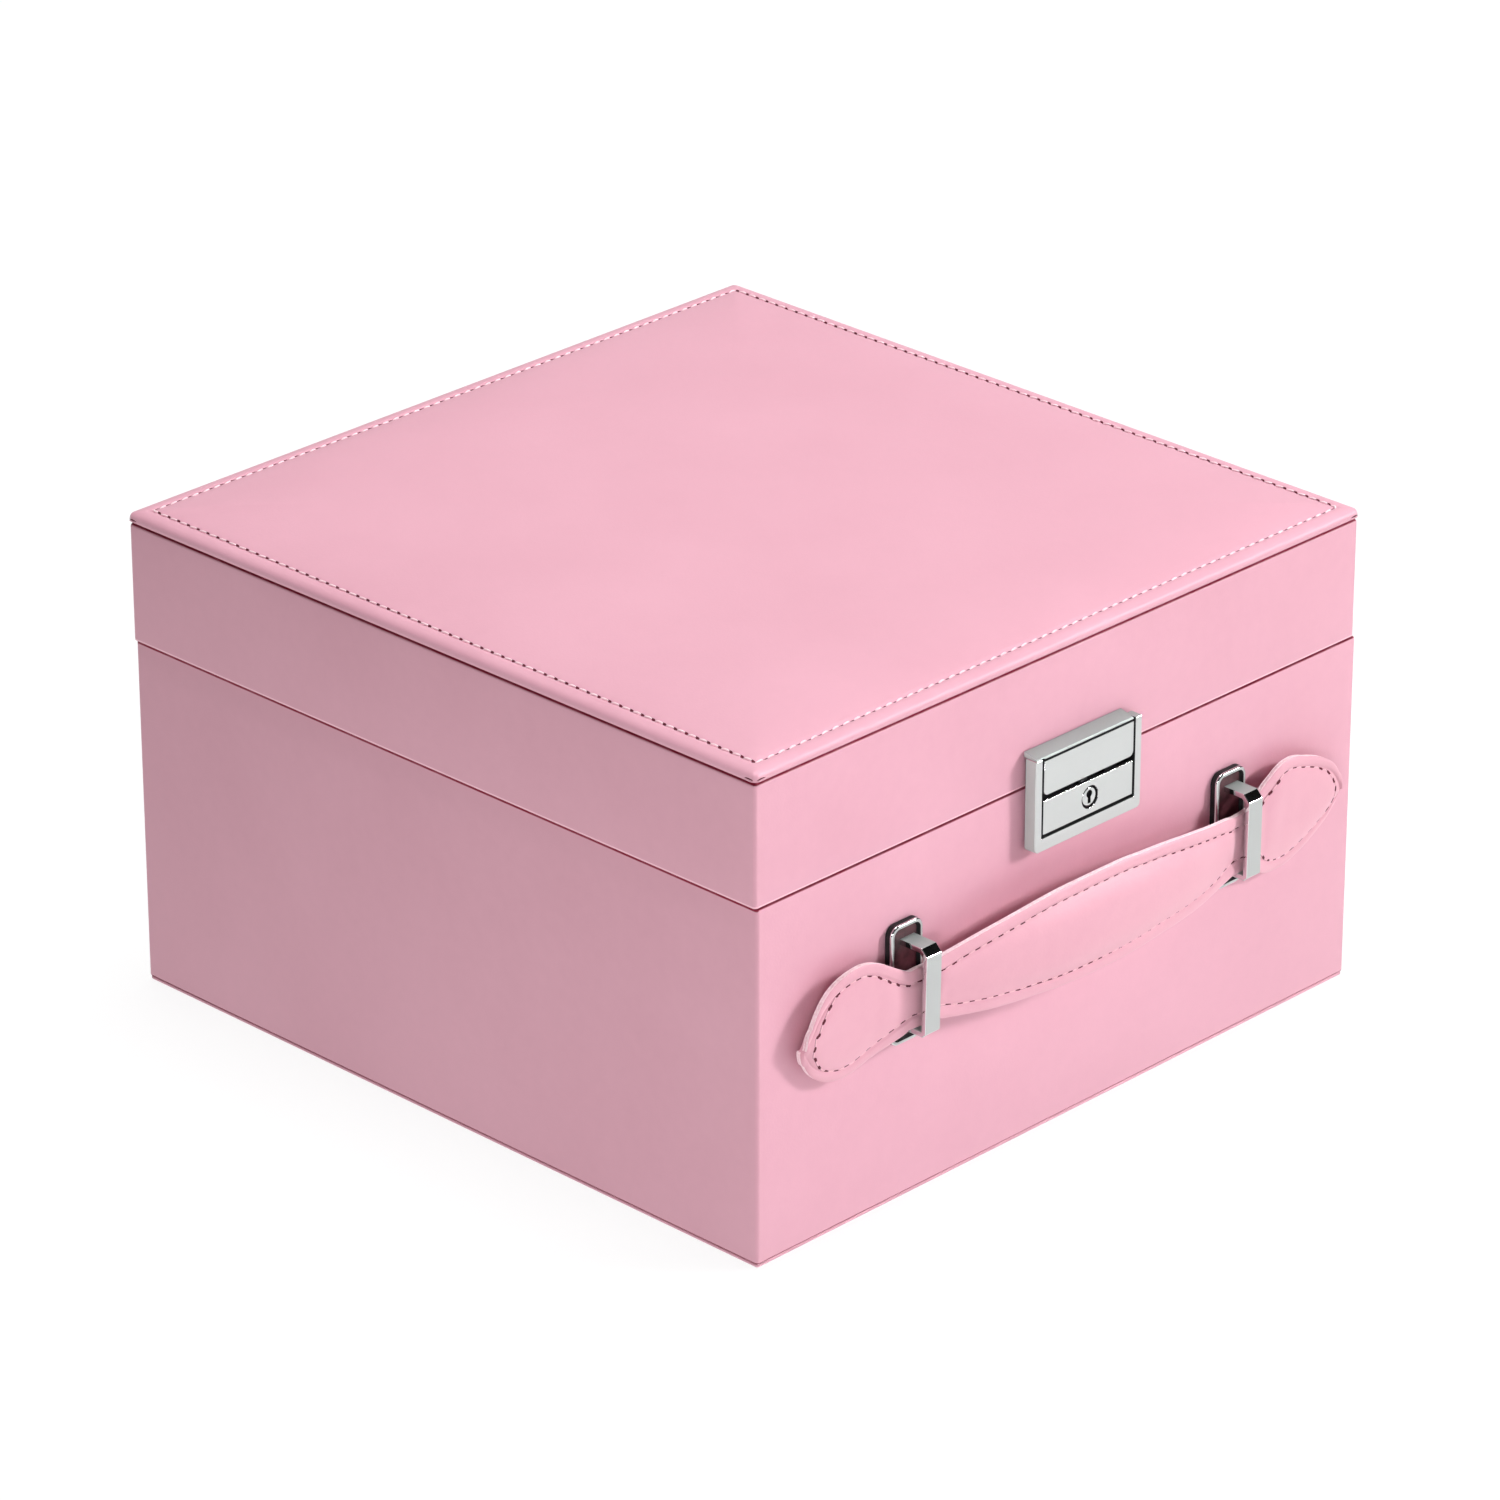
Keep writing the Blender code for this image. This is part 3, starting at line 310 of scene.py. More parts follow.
# ------------------------------------------------------------------ geometry helpers
def finish_mesh(name, bm, mats, smooth=40.0, body=None, replace=()):
    bmesh.ops.recalc_face_normals(bm, faces=bm.faces[:])
    me = bpy.data.meshes.new(name)
    bm.to_mesh(me)
    bm.free()
    for m in mats if isinstance(mats, (list, tuple)) else [mats]:
        me.materials.append(m)
    me.shade_smooth()
    me.set_sharp_from_angle(angle=math.radians(smooth))
    ob = bpy.data.objects.new(name, me)
    bpy.context.scene.collection.objects.link(ob)
    if body:
        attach(ob, body)
    if replace:
        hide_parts(*replace)
    return ob


def rr_path(hx, hy, r, n=8, side=1):
    """Rounded rectangle, counter-clockwise; n segments a corner, each straight side cut into `side` pieces."""
    r = max(r, 0.05)
    pts = []
    for k, (sx, sy) in enumerate(((1, 1), (-1, 1), (-1, -1), (1, -1))):
        cx, cy = sx * (hx - r), sy * (hy - r)
        a0 = k * math.pi / 2
        for i in range(n + 1):
            a = a0 + math.pi / 2 * i / n
            pts.append((cx + r * math.cos(a), cy + r * math.sin(a)))
        if side > 1:
            p = pts[-1]
            nx, ny = ((-1, 1), (-1, -1), (1, -1), (1, 1))[k]
            q0 = (nx * (hx - r), ny * (hy - r))
            an = (k + 1) * math.pi / 2
            q = (q0[0] + r * math.cos(an), q0[1] + r * math.sin(an))
            for i in range(1, side):
                t = i / side
                pts.append((p[0] + (q[0] - p[0]) * t, p[1] + (q[1] - p[1]) * t))
    return pts


def loft(bm, loops, cap=True, closed=False, mat_of=None):
    rows = [[bm.verts.new((p[0] * MM, p[1] * MM, p[2] * MM)) for p in lp] for lp in loops]
    n = len(rows[0])
    pairs = list(zip(rows[:-1], rows[1:]))
    if closed:
        pairs.append((rows[-1], rows[0]))
    for k, (a, b) in enumerate(pairs):
        for i in range(n):
            j = (i + 1) % n
            f = bm.faces.new((a[i], a[j], b[j], b[i]))
            if mat_of:
                f.material_index = mat_of(k, i)
    if cap and not closed:
        bm.faces.new(rows[0])
        bm.faces.new(list(reversed(rows[-1])))
    return rows


def ring_loops(prof, hx, hy, r, n=8, side=1, rmin=0.8, wobble=None):
    out = []
    for inset, z in prof:
        pts = rr_path(hx - inset, hy - inset, max(r - inset, rmin), n, side)
        out.append([(p[0], p[1], z) for p in pts])
    return out


def arc(cx, cz, r, a0, a1, n):
    return [(cx + r * math.cos(math.radians(a0 + (a1 - a0) * i / n)),
             cz + r * math.sin(math.radians(a0 + (a1 - a0) * i / n))) for i in range(n + 1)]


def box_into(bm, x0, x1, y0, y1, z0, z1):
    res = bmesh.ops.create_cube(bm, size=1.0)
    bmesh.ops.scale(bm, vec=((x1 - x0) * MM, (y1 - y0) * MM, (z1 - z0) * MM), verts=res["verts"])
    bmesh.ops.translate(bm, vec=((x0 + x1) / 2 * MM, (y0 + y1) / 2 * MM, (z0 + z1) / 2 * MM),
                        verts=res["verts"])
    return res["verts"]


def axis_pt(c, axis, u, v, a):
    if axis == 'X':
        return (c[0] + a, c[1] + u, c[2] + v)
    if axis == 'Y':
        return (c[0] + u, c[1] + a, c[2] + v)
    return (c[0] + u, c[1] + v, c[2] + a)


def lathe_into(bm, prof, c, axis, n=32, closed=False):
    loops = [[axis_pt(c, axis, r * math.cos(2 * math.pi * i / n), r * math.sin(2 * math.pi * i / n), a)
              for i in range(n)] for r, a in prof]
    return loft(bm, loops, cap=not closed, closed=closed)


def prism_into(bm, poly, axis, a0, a1, c=(0, 0, 0)):
    return loft(bm, [[axis_pt(c, axis, u, v, a) for u, v in poly] for a in (a0, a1)])


def hidden_cutter(name, build):
    bm = bmesh.new()
    build(bm)
    bmesh.ops.recalc_face_normals(bm, faces=bm.faces[:])
    me = bpy.data.meshes.new(name)
    bm.to_mesh(me)
    bm.free()
    ob = bpy.data.objects.new(name, me)
    bpy.context.scene.collection.objects.link(ob)
    return ob


def apply_boolean(ob, op, build):
    """Cut or join in place, and drop the helper."""
    other = hidden_cutter("helper", build)
    m = ob.modifiers.new("bool", 'BOOLEAN')
    m.operation = op
    m.solver = 'EXACT'
    m.object = other
    apply_all(ob)
    bpy.data.objects.remove(other, do_unlink=True)
    return ob


def apply_all(ob):
    bpy.context.view_layer.update()
    dg = bpy.context.evaluated_depsgraph_get()
    me = bpy.data.meshes.new_from_object(ob.evaluated_get(dg), preserve_all_data_layers=True, depsgraph=dg)
    ob.modifiers.clear()
    ob.data = me
    return ob


def bevel(ob, width, seg=3, angle=35.0):
    b = ob.modifiers.new("bevel", 'BEVEL')
    b.width = width * MM
    b.segments = seg
    b.limit_method = 'ANGLE'
    b.angle_limit = math.radians(angle)
    b.harden_normals = True
    apply_all(ob)
    ob.data.shade_smooth()
    ob.data.set_sharp_from_angle(angle=math.radians(40))
    return ob


def smoothstep(a, b, x):
    t = min(max((x - a) / (b - a), 0.0), 1.0)
    return t * t * (3 - 2 * t)


def flat_metal(ob):
    """Crisp flats between rounded edges."""
    ob.data.shade_smooth()
    ob.data.set_sharp_from_angle(angle=math.radians(46))
    w = ob.modifiers.new("weighted", 'WEIGHTED_NORMAL')
    w.mode = 'FACE_AREA'
    w.weight = 100
    w.keep_sharp = True
    apply_all(ob)


# ------------------------------------------------------------------ stitching
def stitches(name, line, body, pitch, length, radius, lift, slant=0.0, hole=0.42, cord=0.0, thread=None,
             sunk=None, stretch=1.15):
    """Thread dashes along `line`, a list of (point, across, normal) at 0.5 mm steps or so, with the needle holes as
    near-black discs of painted shade.
    `sunk` gives, for a point, how far the row has sunk into the leather there, from 0 to 1."""
    pts = [Vector(p) for p, _, _ in line]
    run = [0.0]
    for a, b in zip(pts[:-1], pts[1:]):
        run.append(run[-1] + (b - a).length)
    total = run[-1]
    count = max(1, int(round(total / pitch)))
    step = total / count

    def at(s):
        s = min(max(s, 0.0), total - 1e-6)
        lo, hi = 0, len(run) - 1
        while hi - lo > 1:
            mid = (lo + hi) // 2
            if run[mid] <= s:
                lo = mid
            else:
                hi = mid
        t = (s - run[lo]) / max(run[hi] - run[lo], 1e-9)
        p = pts[lo].lerp(pts[hi], t)
        nrm = Vector(line[lo][2]).lerp(Vector(line[hi][2]), t).normalized()
        side = Vector(line[lo][1]).lerp(Vector(line[hi][1]), t).normalized()
        return p, side, nrm
    bm = bmesh.new()
    bh = bmesh.new()
    for k in range(count):
        rings = []
        off = 0.12 * math.sin(k * 2.399) * pitch / 4
        s0 = k * step + (step - length) / 2 + off * 0.3
        show = 1.0 - (sunk(at(s0 + length / 2)[0]) if sunk else 0.0)
        seg = 7
        for i in range(seg + 1):
            t = i / seg
            p, side, nrm = at(s0 + length * t)
            rr = radius * math.sqrt(max(1 - (2 * t - 1) ** 6, 0.0)) * (0.9 + 0.1 * math.sin(math.pi * t))
            rr = max(rr, radius * 0.25) * (0.55 + 0.45 * show)
            hgt = lift * math.sin(math.pi * min(max(t, 0.04), 0.96)) ** 0.55 - radius * 0.75
            c = p + nrm * hgt + side * (slant * (t - 0.5))
            rings.append([tuple(c + (side * math.cos(a) + nrm * math.sin(a)) * rr)
                          for a in [2 * math.pi * j / 8 for j in range(8)]])
        loft(bm, rings)
        for e in (-0.11, 1.11):
            p, side, nrm = at(s0 + length * e)
            c = p + side * (slant * (max(min(e, 1.0), 0.0) - 0.5))
            along = side.cross(nrm).normalized()
            rim = [(side * math.cos(a) * 0.72 + along * math.sin(a) * stretch) * hole * (0.3 + 0.7 * show)
                   for a in [2 * math.pi * j / 12 for j in range(12)]]
            loft(bh, [[tuple(c + q + nrm * h) for q in rim] for h in (-0.25, 0.03)])
        if cord and show > 0.6:
            # the crease that the thread pulls into the leather: a strip of painted shade on its lower side
            rows = []
            for i in range(6):
                t = i / 5
                p, side, nrm = at(s0 - 0.2 + (length + 0.4) * t)
                c = p + side * (slant * (t - 0.5) + cord * 1.3)
                rows.append([tuple(c + side * cord * u + nrm * h) for u, h in
                             ((-1.2, -0.2), (1.2, -0.2), (1.0, 0.025), (-1.0, 0.025))])
            loft(bh, rows)
    th = finish_mesh(name + "_thread", bm, thread or M_THREAD, 60, body)
    ho = finish_mesh(name + "_holes_painted_shade", bh, M_HOLE_PAINTED_SHADE, 60, body)
    return th, ho


def lay(points, make, direction, ob, start):
    """Points dropped onto a surface along a direction, with the surface's own normals."""
    bm = bmesh.new()
    bm.from_mesh(ob.data)
    tree = BVHTree.FromBMesh(bm)
    bm.free()
    d = Vector(direction)
    hits = []
    for p in points:
        o = Vector(make(p)) * MM - d * start * MM
        hit = tree.ray_cast(o, d)
        if hit[0] is not None:
            hits.append((hit[0] / MM, hit[1]))
    line = []
    n = len(hits)
    for i, (p, nrm) in enumerate(hits):
        nn = (hits[max(i - 1, 0)][1] + nrm + hits[min(i + 1, n - 1)][1]).normalized()
        if nn.dot(d) > 0:
            nn = -nn
        along = (hits[min(i + 1, n - 1)][0] - hits[max(i - 1, 0)][0]).normalized()
        line.append((tuple(p), tuple(nn.cross(along).normalized()), tuple(nn)))
    return line


# ================================================================== LEATHER CASE BODY
def leather_base():
    z0 = 1.25
    q = 0.45
    prof = [(0.35, z0), (0.08, z0 + 0.12), (0.0, z0 + 0.45), (0.0, SEAM_LO - q)]
    prof += [(q - q * math.cos(math.radians(a)), SEAM_LO - q + q * math.sin(math.radians(a)))
             for a in (18, 36, 54, 72, 90)]
    q = 0.9
    prof += [(INN - q + q * math.sin(math.radians(a)), SEAM_LO - q + q * math.cos(math.radians(a)))
             for a in (0, 18, 36, 54, 72, 90)]
    prof += [(INN, 92.0), (INN - LEATHER, 92.0), (INN - LEATHER, SEAM_LO - LEATHER),
             (LEATHER, SEAM_LO - LEATHER), (LEATHER, z0)]
    bm = bmesh.new()
    loft(bm, [[(p[0] + BASE_DX * smoothstep(8.0, 2.0, HX - abs(p[0])), p[1], p[2]) for p in lp]
              for lp in ring_loops(prof, HX, HY, R_BODY, 8, 24, 0.5)], closed=True)
    return finish_mesh("base_leather_cover", bm, M_LEATHER, 50)


def leather_lid():
    q = 0.45
    prof = [(q - q * math.cos(math.radians(a)), SEAM_HI + q - q * math.sin(math.radians(a)))
            for a in (90, 72, 54, 36, 18, 0)]
    prof += [(0.9 - 0.9 * math.cos(math.radians(a)), LID_TOP - 0.9 + 0.9 * math.sin(math.radians(a)))
             for a in (0, 18, 36, 54, 72, 90)]
    prof += [(8.0, LID_TOP), (8.0, LID_TOP - LEATHER), (LEATHER, LID_TOP - LEATHER),
             (LEATHER, SEAM_HI + LEATHER), (INN - LEATHER, SEAM_HI + LEATHER), (INN - LEATHER, 112.0),
             (INN, 112.0)]
    prof += [(INN - 0.9 + 0.9 * math.sin(math.radians(a)), SEAM_HI + 0.9 - 0.9 * math.cos(math.radians(a)))
             for a in (90, 72, 54, 36, 18, 0)]
    bm = bmesh.new()
    loft(bm, [[(p[0] + LID_DX * smoothstep(8.0, 2.0, HX - abs(p[0])), p[1], p[2]) for p in lp]
              for lp in ring_loops(prof, HX, HY, R_BODY, 8, 24, 0.5)], closed=True)
    return finish_mesh("lid_leather_cover", bm, M_LEATHER, 50)


def pockets(z0, z1):
    def build(bm):
        for hx in (-HINGE_X, HINGE_X):
            box_into(bm, hx - HINGE_HALF - 0.5, hx + HINGE_HALF + 0.5, 108.7, AXIS_Y, z0, z1)
    return build


cover = leather_base()
apply_boolean(cover, 'DIFFERENCE', pockets(100.4, 102.6))
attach(cover, "base")
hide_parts("base_leather")
cover = leather_lid()
apply_boolean(cover, 'DIFFERENCE', pockets(101.0, 103.2))
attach(cover, "lid")
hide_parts("lid_leather")

bm = bmesh.new()
prof = [(0.9, 0.0), (0.5, 0.06), (0.32, 0.25), (0.3, 0.5), (0.32, 0.8), (0.5, 0.96), (0.9, 1.0), (8.0, 1.0), (8.0, 2.0)]
loft(bm, [[(p[0] + BASE_DX, p[1], p[2]) for p in lp] for lp in ring_loops(prof, HX, HY, R_BODY, 8, 1, 0.5)])
finish_mesh("bottom_board_cover", bm, M_LEATHER, 50, "base", ("bottom_board",))

# ================================================================== PADDED TOP PANEL
PAN = LID_TOP + GAP
STITCH_IN = 4.4


def panel_top(inset):
    """Height of the padded panel above its underside, by distance from the edge."""
    if inset < 3.4:
        table = [(0.0, 2.30), (0.8, 2.82), (2.0, 3.08), (3.4, 3.16)]
        for (a, ha), (b, hb) in zip(table[:-1], table[1:]):
            if inset <= b:
                return ha + (hb - ha) * (inset - a) / (b - a)
    e = inset - STITCH_IN
    groove = -0.30 * math.exp(-(e / 0.7) ** 2)
    crown = 5.05 - 1.85 * math.exp(-max(e, 0.0) / 13.0) if e > 0 else 3.2
    return crown + groove


prof = [(1.3, PAN + 1.0), (1.3, PAN), (0.35, PAN), (0.05, PAN + 0.15), (-0.15, PAN + 0.5), (-0.27, PAN + 1.0),
        (-0.27, PAN + 1.5), (-0.17, PAN + 1.9), (0.03, PAN + 2.28), (0.35, PAN + 2.56), (0.8, PAN + 2.78),
        (1.35, PAN + 2.95), (2.0, PAN + 3.06), (2.7, PAN + 3.13)]
for ins in (3.3, 3.7, 4.0, 4.2, 4.4, 4.6, 4.9, 5.3, 5.9, 6.8, 8.0, 10.0, 12.5, 16.0, 20.0, 26.0, 34.0, 45.0,
            60.0, 80.0, 100.0):
    prof.append((ins, PAN + panel_top(ins)))
SIDE = 4 * 57
bm = bmesh.new()
loops = []
for k, (ins, z) in enumerate(prof):
    pts = rr_path(HX - ins, HY - ins, max(R_BODY + 0.5 - ins, 0.9), 10, SIDE)
    pull = math.exp(-((ins - STITCH_IN) / 1.3) ** 2) if k > 4 else 0.0
    row = []
    for p in pts:
        ax, ay = abs(p[0]), abs(p[1])
        along = p[0] if (HY - ay) < (HX - ax) else p[1]
        ph = math.cos(2 * math.pi * along / 3.9)
        dz = pull * 0.06 * ph
        if ins > 6:
            dz += 0.10 * noise.noise(Vector((p[0] * 0.02, p[1] * 0.02, 3.1)))
        row.append((p[0] + LID_DX * smoothstep(20.0, 0.0, HX - ax), p[1], z + dz))
    loops.append(row)
loft(bm, loops)
top = finish_mesh("top_panel_cover", bm, M_TOP, 60, "lid", ("top_panel_leather",))


def rect_line(inset, z_of, r):
    pts = rr_path(HX - inset, HY - inset, r, 8, 220)
    line = []
    n = len(pts)
    for i in range(n + 1):
        p = pts[i % n]
        q = pts[(i + 1) % n]
        o = pts[(i - 1) % n]
        d = Vector((q[0] - o[0], q[1] - o[1], 0)).normalized()
        side = Vector((d.y, -d.x, 0))
        line.append(((p[0], p[1], z_of), tuple(side), (0, 0, 1)))
    return line


stitches("top_panel_stitch", lay([p for p, _, _ in rect_line(STITCH_IN, 160.0, 0.9)], lambda p: p, (0, 0, -1),
                                 top, 5.0),
         "lid", 3.87, 2.75, 0.29, 0.36, slant=0.34, hole=0.38, cord=0.12,
         stretch=1.75)

# the tucks where the panel's leather is folded round its corners, each with a strip of painted shade along its fold
for sx, sy in ((-1, -1), (1, -1), (1, 1), (-1, 1)):
    for across in (0, 1):
        bm = bmesh.new()
        bh = bmesh.new()
        rows, dark = [], []
        for i in range(13):
            t = i / 12
            run = 0.55 + 2.9 * t
            fat = math.sin(math.pi * min(max(t, 0.03), 0.97)) ** 0.6
            bow = PAN + 0.62 + 0.10 * math.sin(math.pi * t)
            for out, hgt, thick, reach, store in ((0.30, 0.0, 0.30, 0.34, rows), (0.34, 0.44, 0.19, 0.24, dark)):
                ring = []
                for j in range(10):
                    a = 2 * math.pi * j / 10
                    d = out + reach * fat * math.cos(a) * 0.55 - 0.10
                    z = bow + hgt + thick * fat * math.sin(a)
                    q = (HX - run, HY + d) if across else (HX + d, HY - run)
                    ring.append((sx * q[0] + (LID_DX if not across else LID_DX * smoothstep(20.0, 0.0, run)),
                                 sy * q[1], z))
                store.append(ring)
        loft(bm, rows)
        loft(bh, dark)
        tag = "_%d%d%d" % (sx > 0, sy > 0, across)
        finish_mesh("corner_tuck" + tag, bm, M_TOP, 70, "lid")
        finish_mesh("corner_crease_painted_shade" + tag, bh, M_HOLE_PAINTED_SHADE, 70, "lid")

# ================================================================== HANDLE STRAP
# distance from the middle, half the height, and how far the middle line rises or drops there
LEFT = [(0, 14.33, -0.87), (8, 14.25, -0.85), (16, 13.97, -0.73), (24, 13.3, -0.65), (32, 12.55, -0.8),
        (40, 11.65, -0.95), (48, 10.35, -1.25), (54, 9.25, -1.42), (58.0, 8.55, -1.48),
        (64.8, 8.4, -1.55), (66.8, 8.35, -1.75), (68.5, 9.15, -1.9), (70.5, 10.1, -1.75),
        (73, 11.35, -1.45), (76, 12.8, -1.1), (79, 14.0, -0.95), (82, 14.95, -1.05), (85, 15.45, -1.4),
        (88, 15.4, -1.7), (91, 14.9, -1.9), (94, 13.9, -2.1), (97, 12.1, -2.45), (99.5, 9.6, -2.9),
        (101.2, 7.1, -3.2), (102.4, 4.6, -3.3), (103.1, 2.8, -3.35), (103.5, 1.5, -3.4)]
RIGHT = [(0, 14.33, -0.87), (8, 14.23, -0.87), (16, 13.72, -0.98), (24, 13.03, -0.92), (32, 12.25, -1.1),
         (40, 11.32, -1.28), (48, 10.1, -1.5), (54, 9.2, -1.47), (58.0, 8.55, -1.45),
         (65.0, 8.85, -1.15), (66.6, 9.6, -0.5), (68.2, 11.2, -0.8), (70.5, 13.0, -1.2),
         (73, 14.4, -1.2), (76, 15.7, -0.9), (79, 16.4, -0.7), (82, 16.5, -0.7), (85, 16.0, -0.75),
         (88, 15.0, -0.8), (91, 13.95, -0.7), (94, 12.6, -0.55), (97, 10.9, -0.5),
         (99.5, 9.2, -0.65), (101.2, 7.5, -0.9), (102.6, 5.3, -1.2), (103.5, 3.0, -1.4)]
BACK = [(0, 10.3), (16, 10.1), (24, 9.9), (32, 9.5), (40, 8.8), (48, 7.5), (54, 6.5), (58.5, 6.0), (63.5, 5.7),
        (68.5, 5.0), (75, 4.0), (80, 3.4), (88, 3.1), (105.4, 3.1)]


def smooth_table(table, x):
    xs = [p[0] for p in table]
    ys = [p[1] for p in table]
    if x <= xs[0]:
        return ys[0]
    if x >= xs[-1]:
        return ys[-1]
    k = max(i for i in range(len(xs) - 1) if xs[i] <= x)
    h = xs[k + 1] - xs[k]

    def slope(i):
        if i == 0:
            return 0.0
        if i == len(xs) - 1:
            return (ys[i] - ys[i - 1]) / (xs[i] - xs[i - 1])
        a = (ys[i] - ys[i - 1]) / (xs[i] - xs[i - 1])
        b = (ys[i + 1] - ys[i]) / (xs[i + 1] - xs[i])
        return 0.0 if a * b <= 0 else 2 * a * b / (a + b)
    m0, m1 = slope(k), slope(k + 1)
    t = (x - xs[k]) / h
    return (ys[k] * (2 * t ** 3 - 3 * t ** 2 + 1) + h * m0 * (t ** 3 - 2 * t ** 2 + t)
            + ys[k + 1] * (-2 * t ** 3 + 3 * t ** 2) + h * m1 * (t ** 3 - t ** 2))


PLY = 0.7
STITCH = [(0, 3.3), (50, 3.4), (60, 3.8), (70, 3.8), (80, 3.3), (105, 2.9)]


TIPS = (103.7, 104.0)             # left and right ends


def tip_of(s):
    return TIPS[0 if s < 0 else 1]


def outline(s, k):
    return smooth_table([(p[0], p[k]) for p in (LEFT if s < 0 else RIGHT)], abs(s))


def half_height(s):
    a, end = abs(s), tip_of(s)
    start = end - 1.6
    if a >= start:
        t = min((a - start) / (end - start), 1.0)
        return outline(math.copysign(start, s), 1) * math.sqrt(1 - t * t)
    return outline(s, 1)


def strap_zc(s):
    return STRAP_Z + outline(s, 2)


def strap_back(s, z):
    """Depth of the strap's inner face; the ends lean back against the case at the bottom."""
    a = abs(s)
    w = max(half_height(s), 0.5)
    return smooth_table(BACK, a) + 1.25 * max(min(z / w, 1.0), -1.0) * smoothstep(64, 80, a)


def strap_front(s, z):
    """Depth of the strap's outer face at distance s from the middle and height z from its own middle line."""
    a = abs(s)
    w = max(half_height(s), 0.05)
    d0 = strap_back(s, z) + PLY + 0.12
    e = max(w - abs(z), 0.0)
    ins = smooth_table(STITCH, a)
    tip = smoothstep(97, 105.4, a)
    grip = 1 - smoothstep(14, 54, a)
    pad = 0.55 + 1.35 * grip + 0.45 * smoothstep(70, 84, a) * (1 - tip)
    neck = math.exp(-((a - 63.5) / 6.5) ** 2)
    pad *= 1 - 0.7 * neck
    rise = 0.72 + 0.55 * (1 - math.exp(-e / 0.7)) * (1 - 0.35 * neck)
    inner = pad * (1 - math.exp(-((e - ins) / 3.0) ** 2)) if e > ins else 0.0
    groove = -0.38 * math.exp(-((e - ins) / 0.55) ** 2) * smoothstep(0.0, 2.0, w - ins + 1.0)
    # soft creases where the strap is pinched through the loops
    zn = z / w
    crease = 0.0
    for c0, z0, rx, rz, amp in CREASES[0 if s < 0 else 1]:
        crease += amp * math.exp(-((a - c0) / rx) ** 2 - ((zn - z0) / rz) ** 2)
    ripple = 0.14 * noise.noise(Vector((s * 0.06, z * 0.09, 0.7)))
    return d0 + rise + inner + groove + (crease + ripple) * smoothstep(0.0, 3.0, e)


CREASES = (
    # distance from the middle, height, spread along, spread across, depth: left half, right half
    ((58.6, 0.15, 1.5, 0.75, -0.75), (55.5, -0.35, 2.2, 0.35, -0.45), (54.0, 0.45, 2.6, 0.30, 0.30),
     (57.2, 0.75, 1.6, 0.25, 0.25), (70.6, 0.10, 1.9, 0.70, -0.35), (75.0, 0.2, 2.6, 0.5, 0.18)),
    ((58.8, -0.10, 1.9, 0.85, -0.85), (54.5, -0.55, 2.8, 0.35, -0.55), (53.5, 0.35, 3.0, 0.35, 0.30),
     (70.6, 0.0, 2.0, 0.75, -0.40), (76.0, 0.3, 3.0, 0.5, 0.18)),
)


def stations():
    out = []
    a = 0.0
    while a < 52:
        out.append(a)
        a += 2.0
    while a < 76:
        out.append(a)
        a += 0.8
    while a < 100:
        out.append(a)
        a += 1.2
    pos = sorted(set(round(v, 4) for v in out))
    ends = []
    for end in TIPS:
        ends.append([100.0 + (end - 0.004 - 100.0) * math.sin(math.pi / 2 * i / 12) for i in range(13)])
    return ([-v for v in reversed(ends[0])] + [-v for v in reversed(pos[1:]) if v < 99.9]
            + [v for v in pos if v < 99.9] + ends[1])


EDGE_STEPS = [0.0, 0.1, 0.25, 0.5, 0.9, 1.4, 1.9, 2.4, 2.7, 2.95, 3.15, 3.35, 3.55, 3.8, 4.1, 4.6, 5.3, 6.2]


def across(w):
    k = min(1.0, w / 8.0)
    zs = [w - e * k for e in EDGE_STEPS]
    inner = zs[-1]
    m = 8
    mid = [inner * (1 - 2 * i / m) for i in range(1, m)]
    return zs + mid + [-z for z in reversed(zs)]


st = stations()
NF = len(across(10.0))


def strap_skin(front):
    bm = bmesh.new()
    loops = []
    for s in st:
        w = max(half_height(s), 0.06)
        if not front:
            w = max(w - 0.08 * min(1, w), 0.05)
        x, zc = STRAP_X + s, strap_zc(s)
        wob = 0.06 * noise.noise(Vector((s * 0.35, 5.0, 1.0 if front else 2.0)))
        lift = PLY + 0.12 if front else 0.0
        if front:
            row = [(x, fy(strap_back(s, w) + lift), zc + w - 0.06 * min(1, w)),
                   (x, fy(strap_back(s, w) + lift + 0.14 + wob), zc + w)]
            row += [(x, fy(strap_front(s, z)), zc + z) for z in across(w)]
            row += [(x, fy(strap_back(s, -w) + lift + 0.16), zc - w),
                    (x, fy(strap_back(s, -w) + lift), zc - w + 0.1 * min(1, w))]
        else:
            zs = [w * math.cos(math.pi * i / (NF - 1)) for i in range(NF)]
            row = [(x, fy(strap_back(s, w) + 0.15), zc + w), (x, fy(strap_back(s, w) + PLY - 0.15 + wob), zc + w)]
            row += [(x, fy(strap_back(s, z) + PLY), zc + z * 0.985) for z in zs]
            row += [(x, fy(strap_back(s, -w) + PLY - 0.15), zc - w), (x, fy(strap_back(s, -w) + 0.15), zc - w)]
        m = 8
        row += [(x, fy(strap_back(s, w * 0.95 * (-1 + 2 * i / m)) + lift), zc + w * 0.95 * (-1 + 2 * i / m))
                for i in range(1, m)]
        loops.append(row)
    loft(bm, loops, mat_of=lambda k, i: 1 if i in (0, 1, NF + 1, NF + 2) else 0)
    return bm


front = finish_mesh("strap_outer_ply", strap_skin(True), [M_STRAP, M_EDGE], 45, "strap", ("strap_front_ply",))
finish_mesh("strap_inner_ply", strap_skin(False), [M_STRAP, M_EDGE], 45, "strap", ("strap_back_ply",))


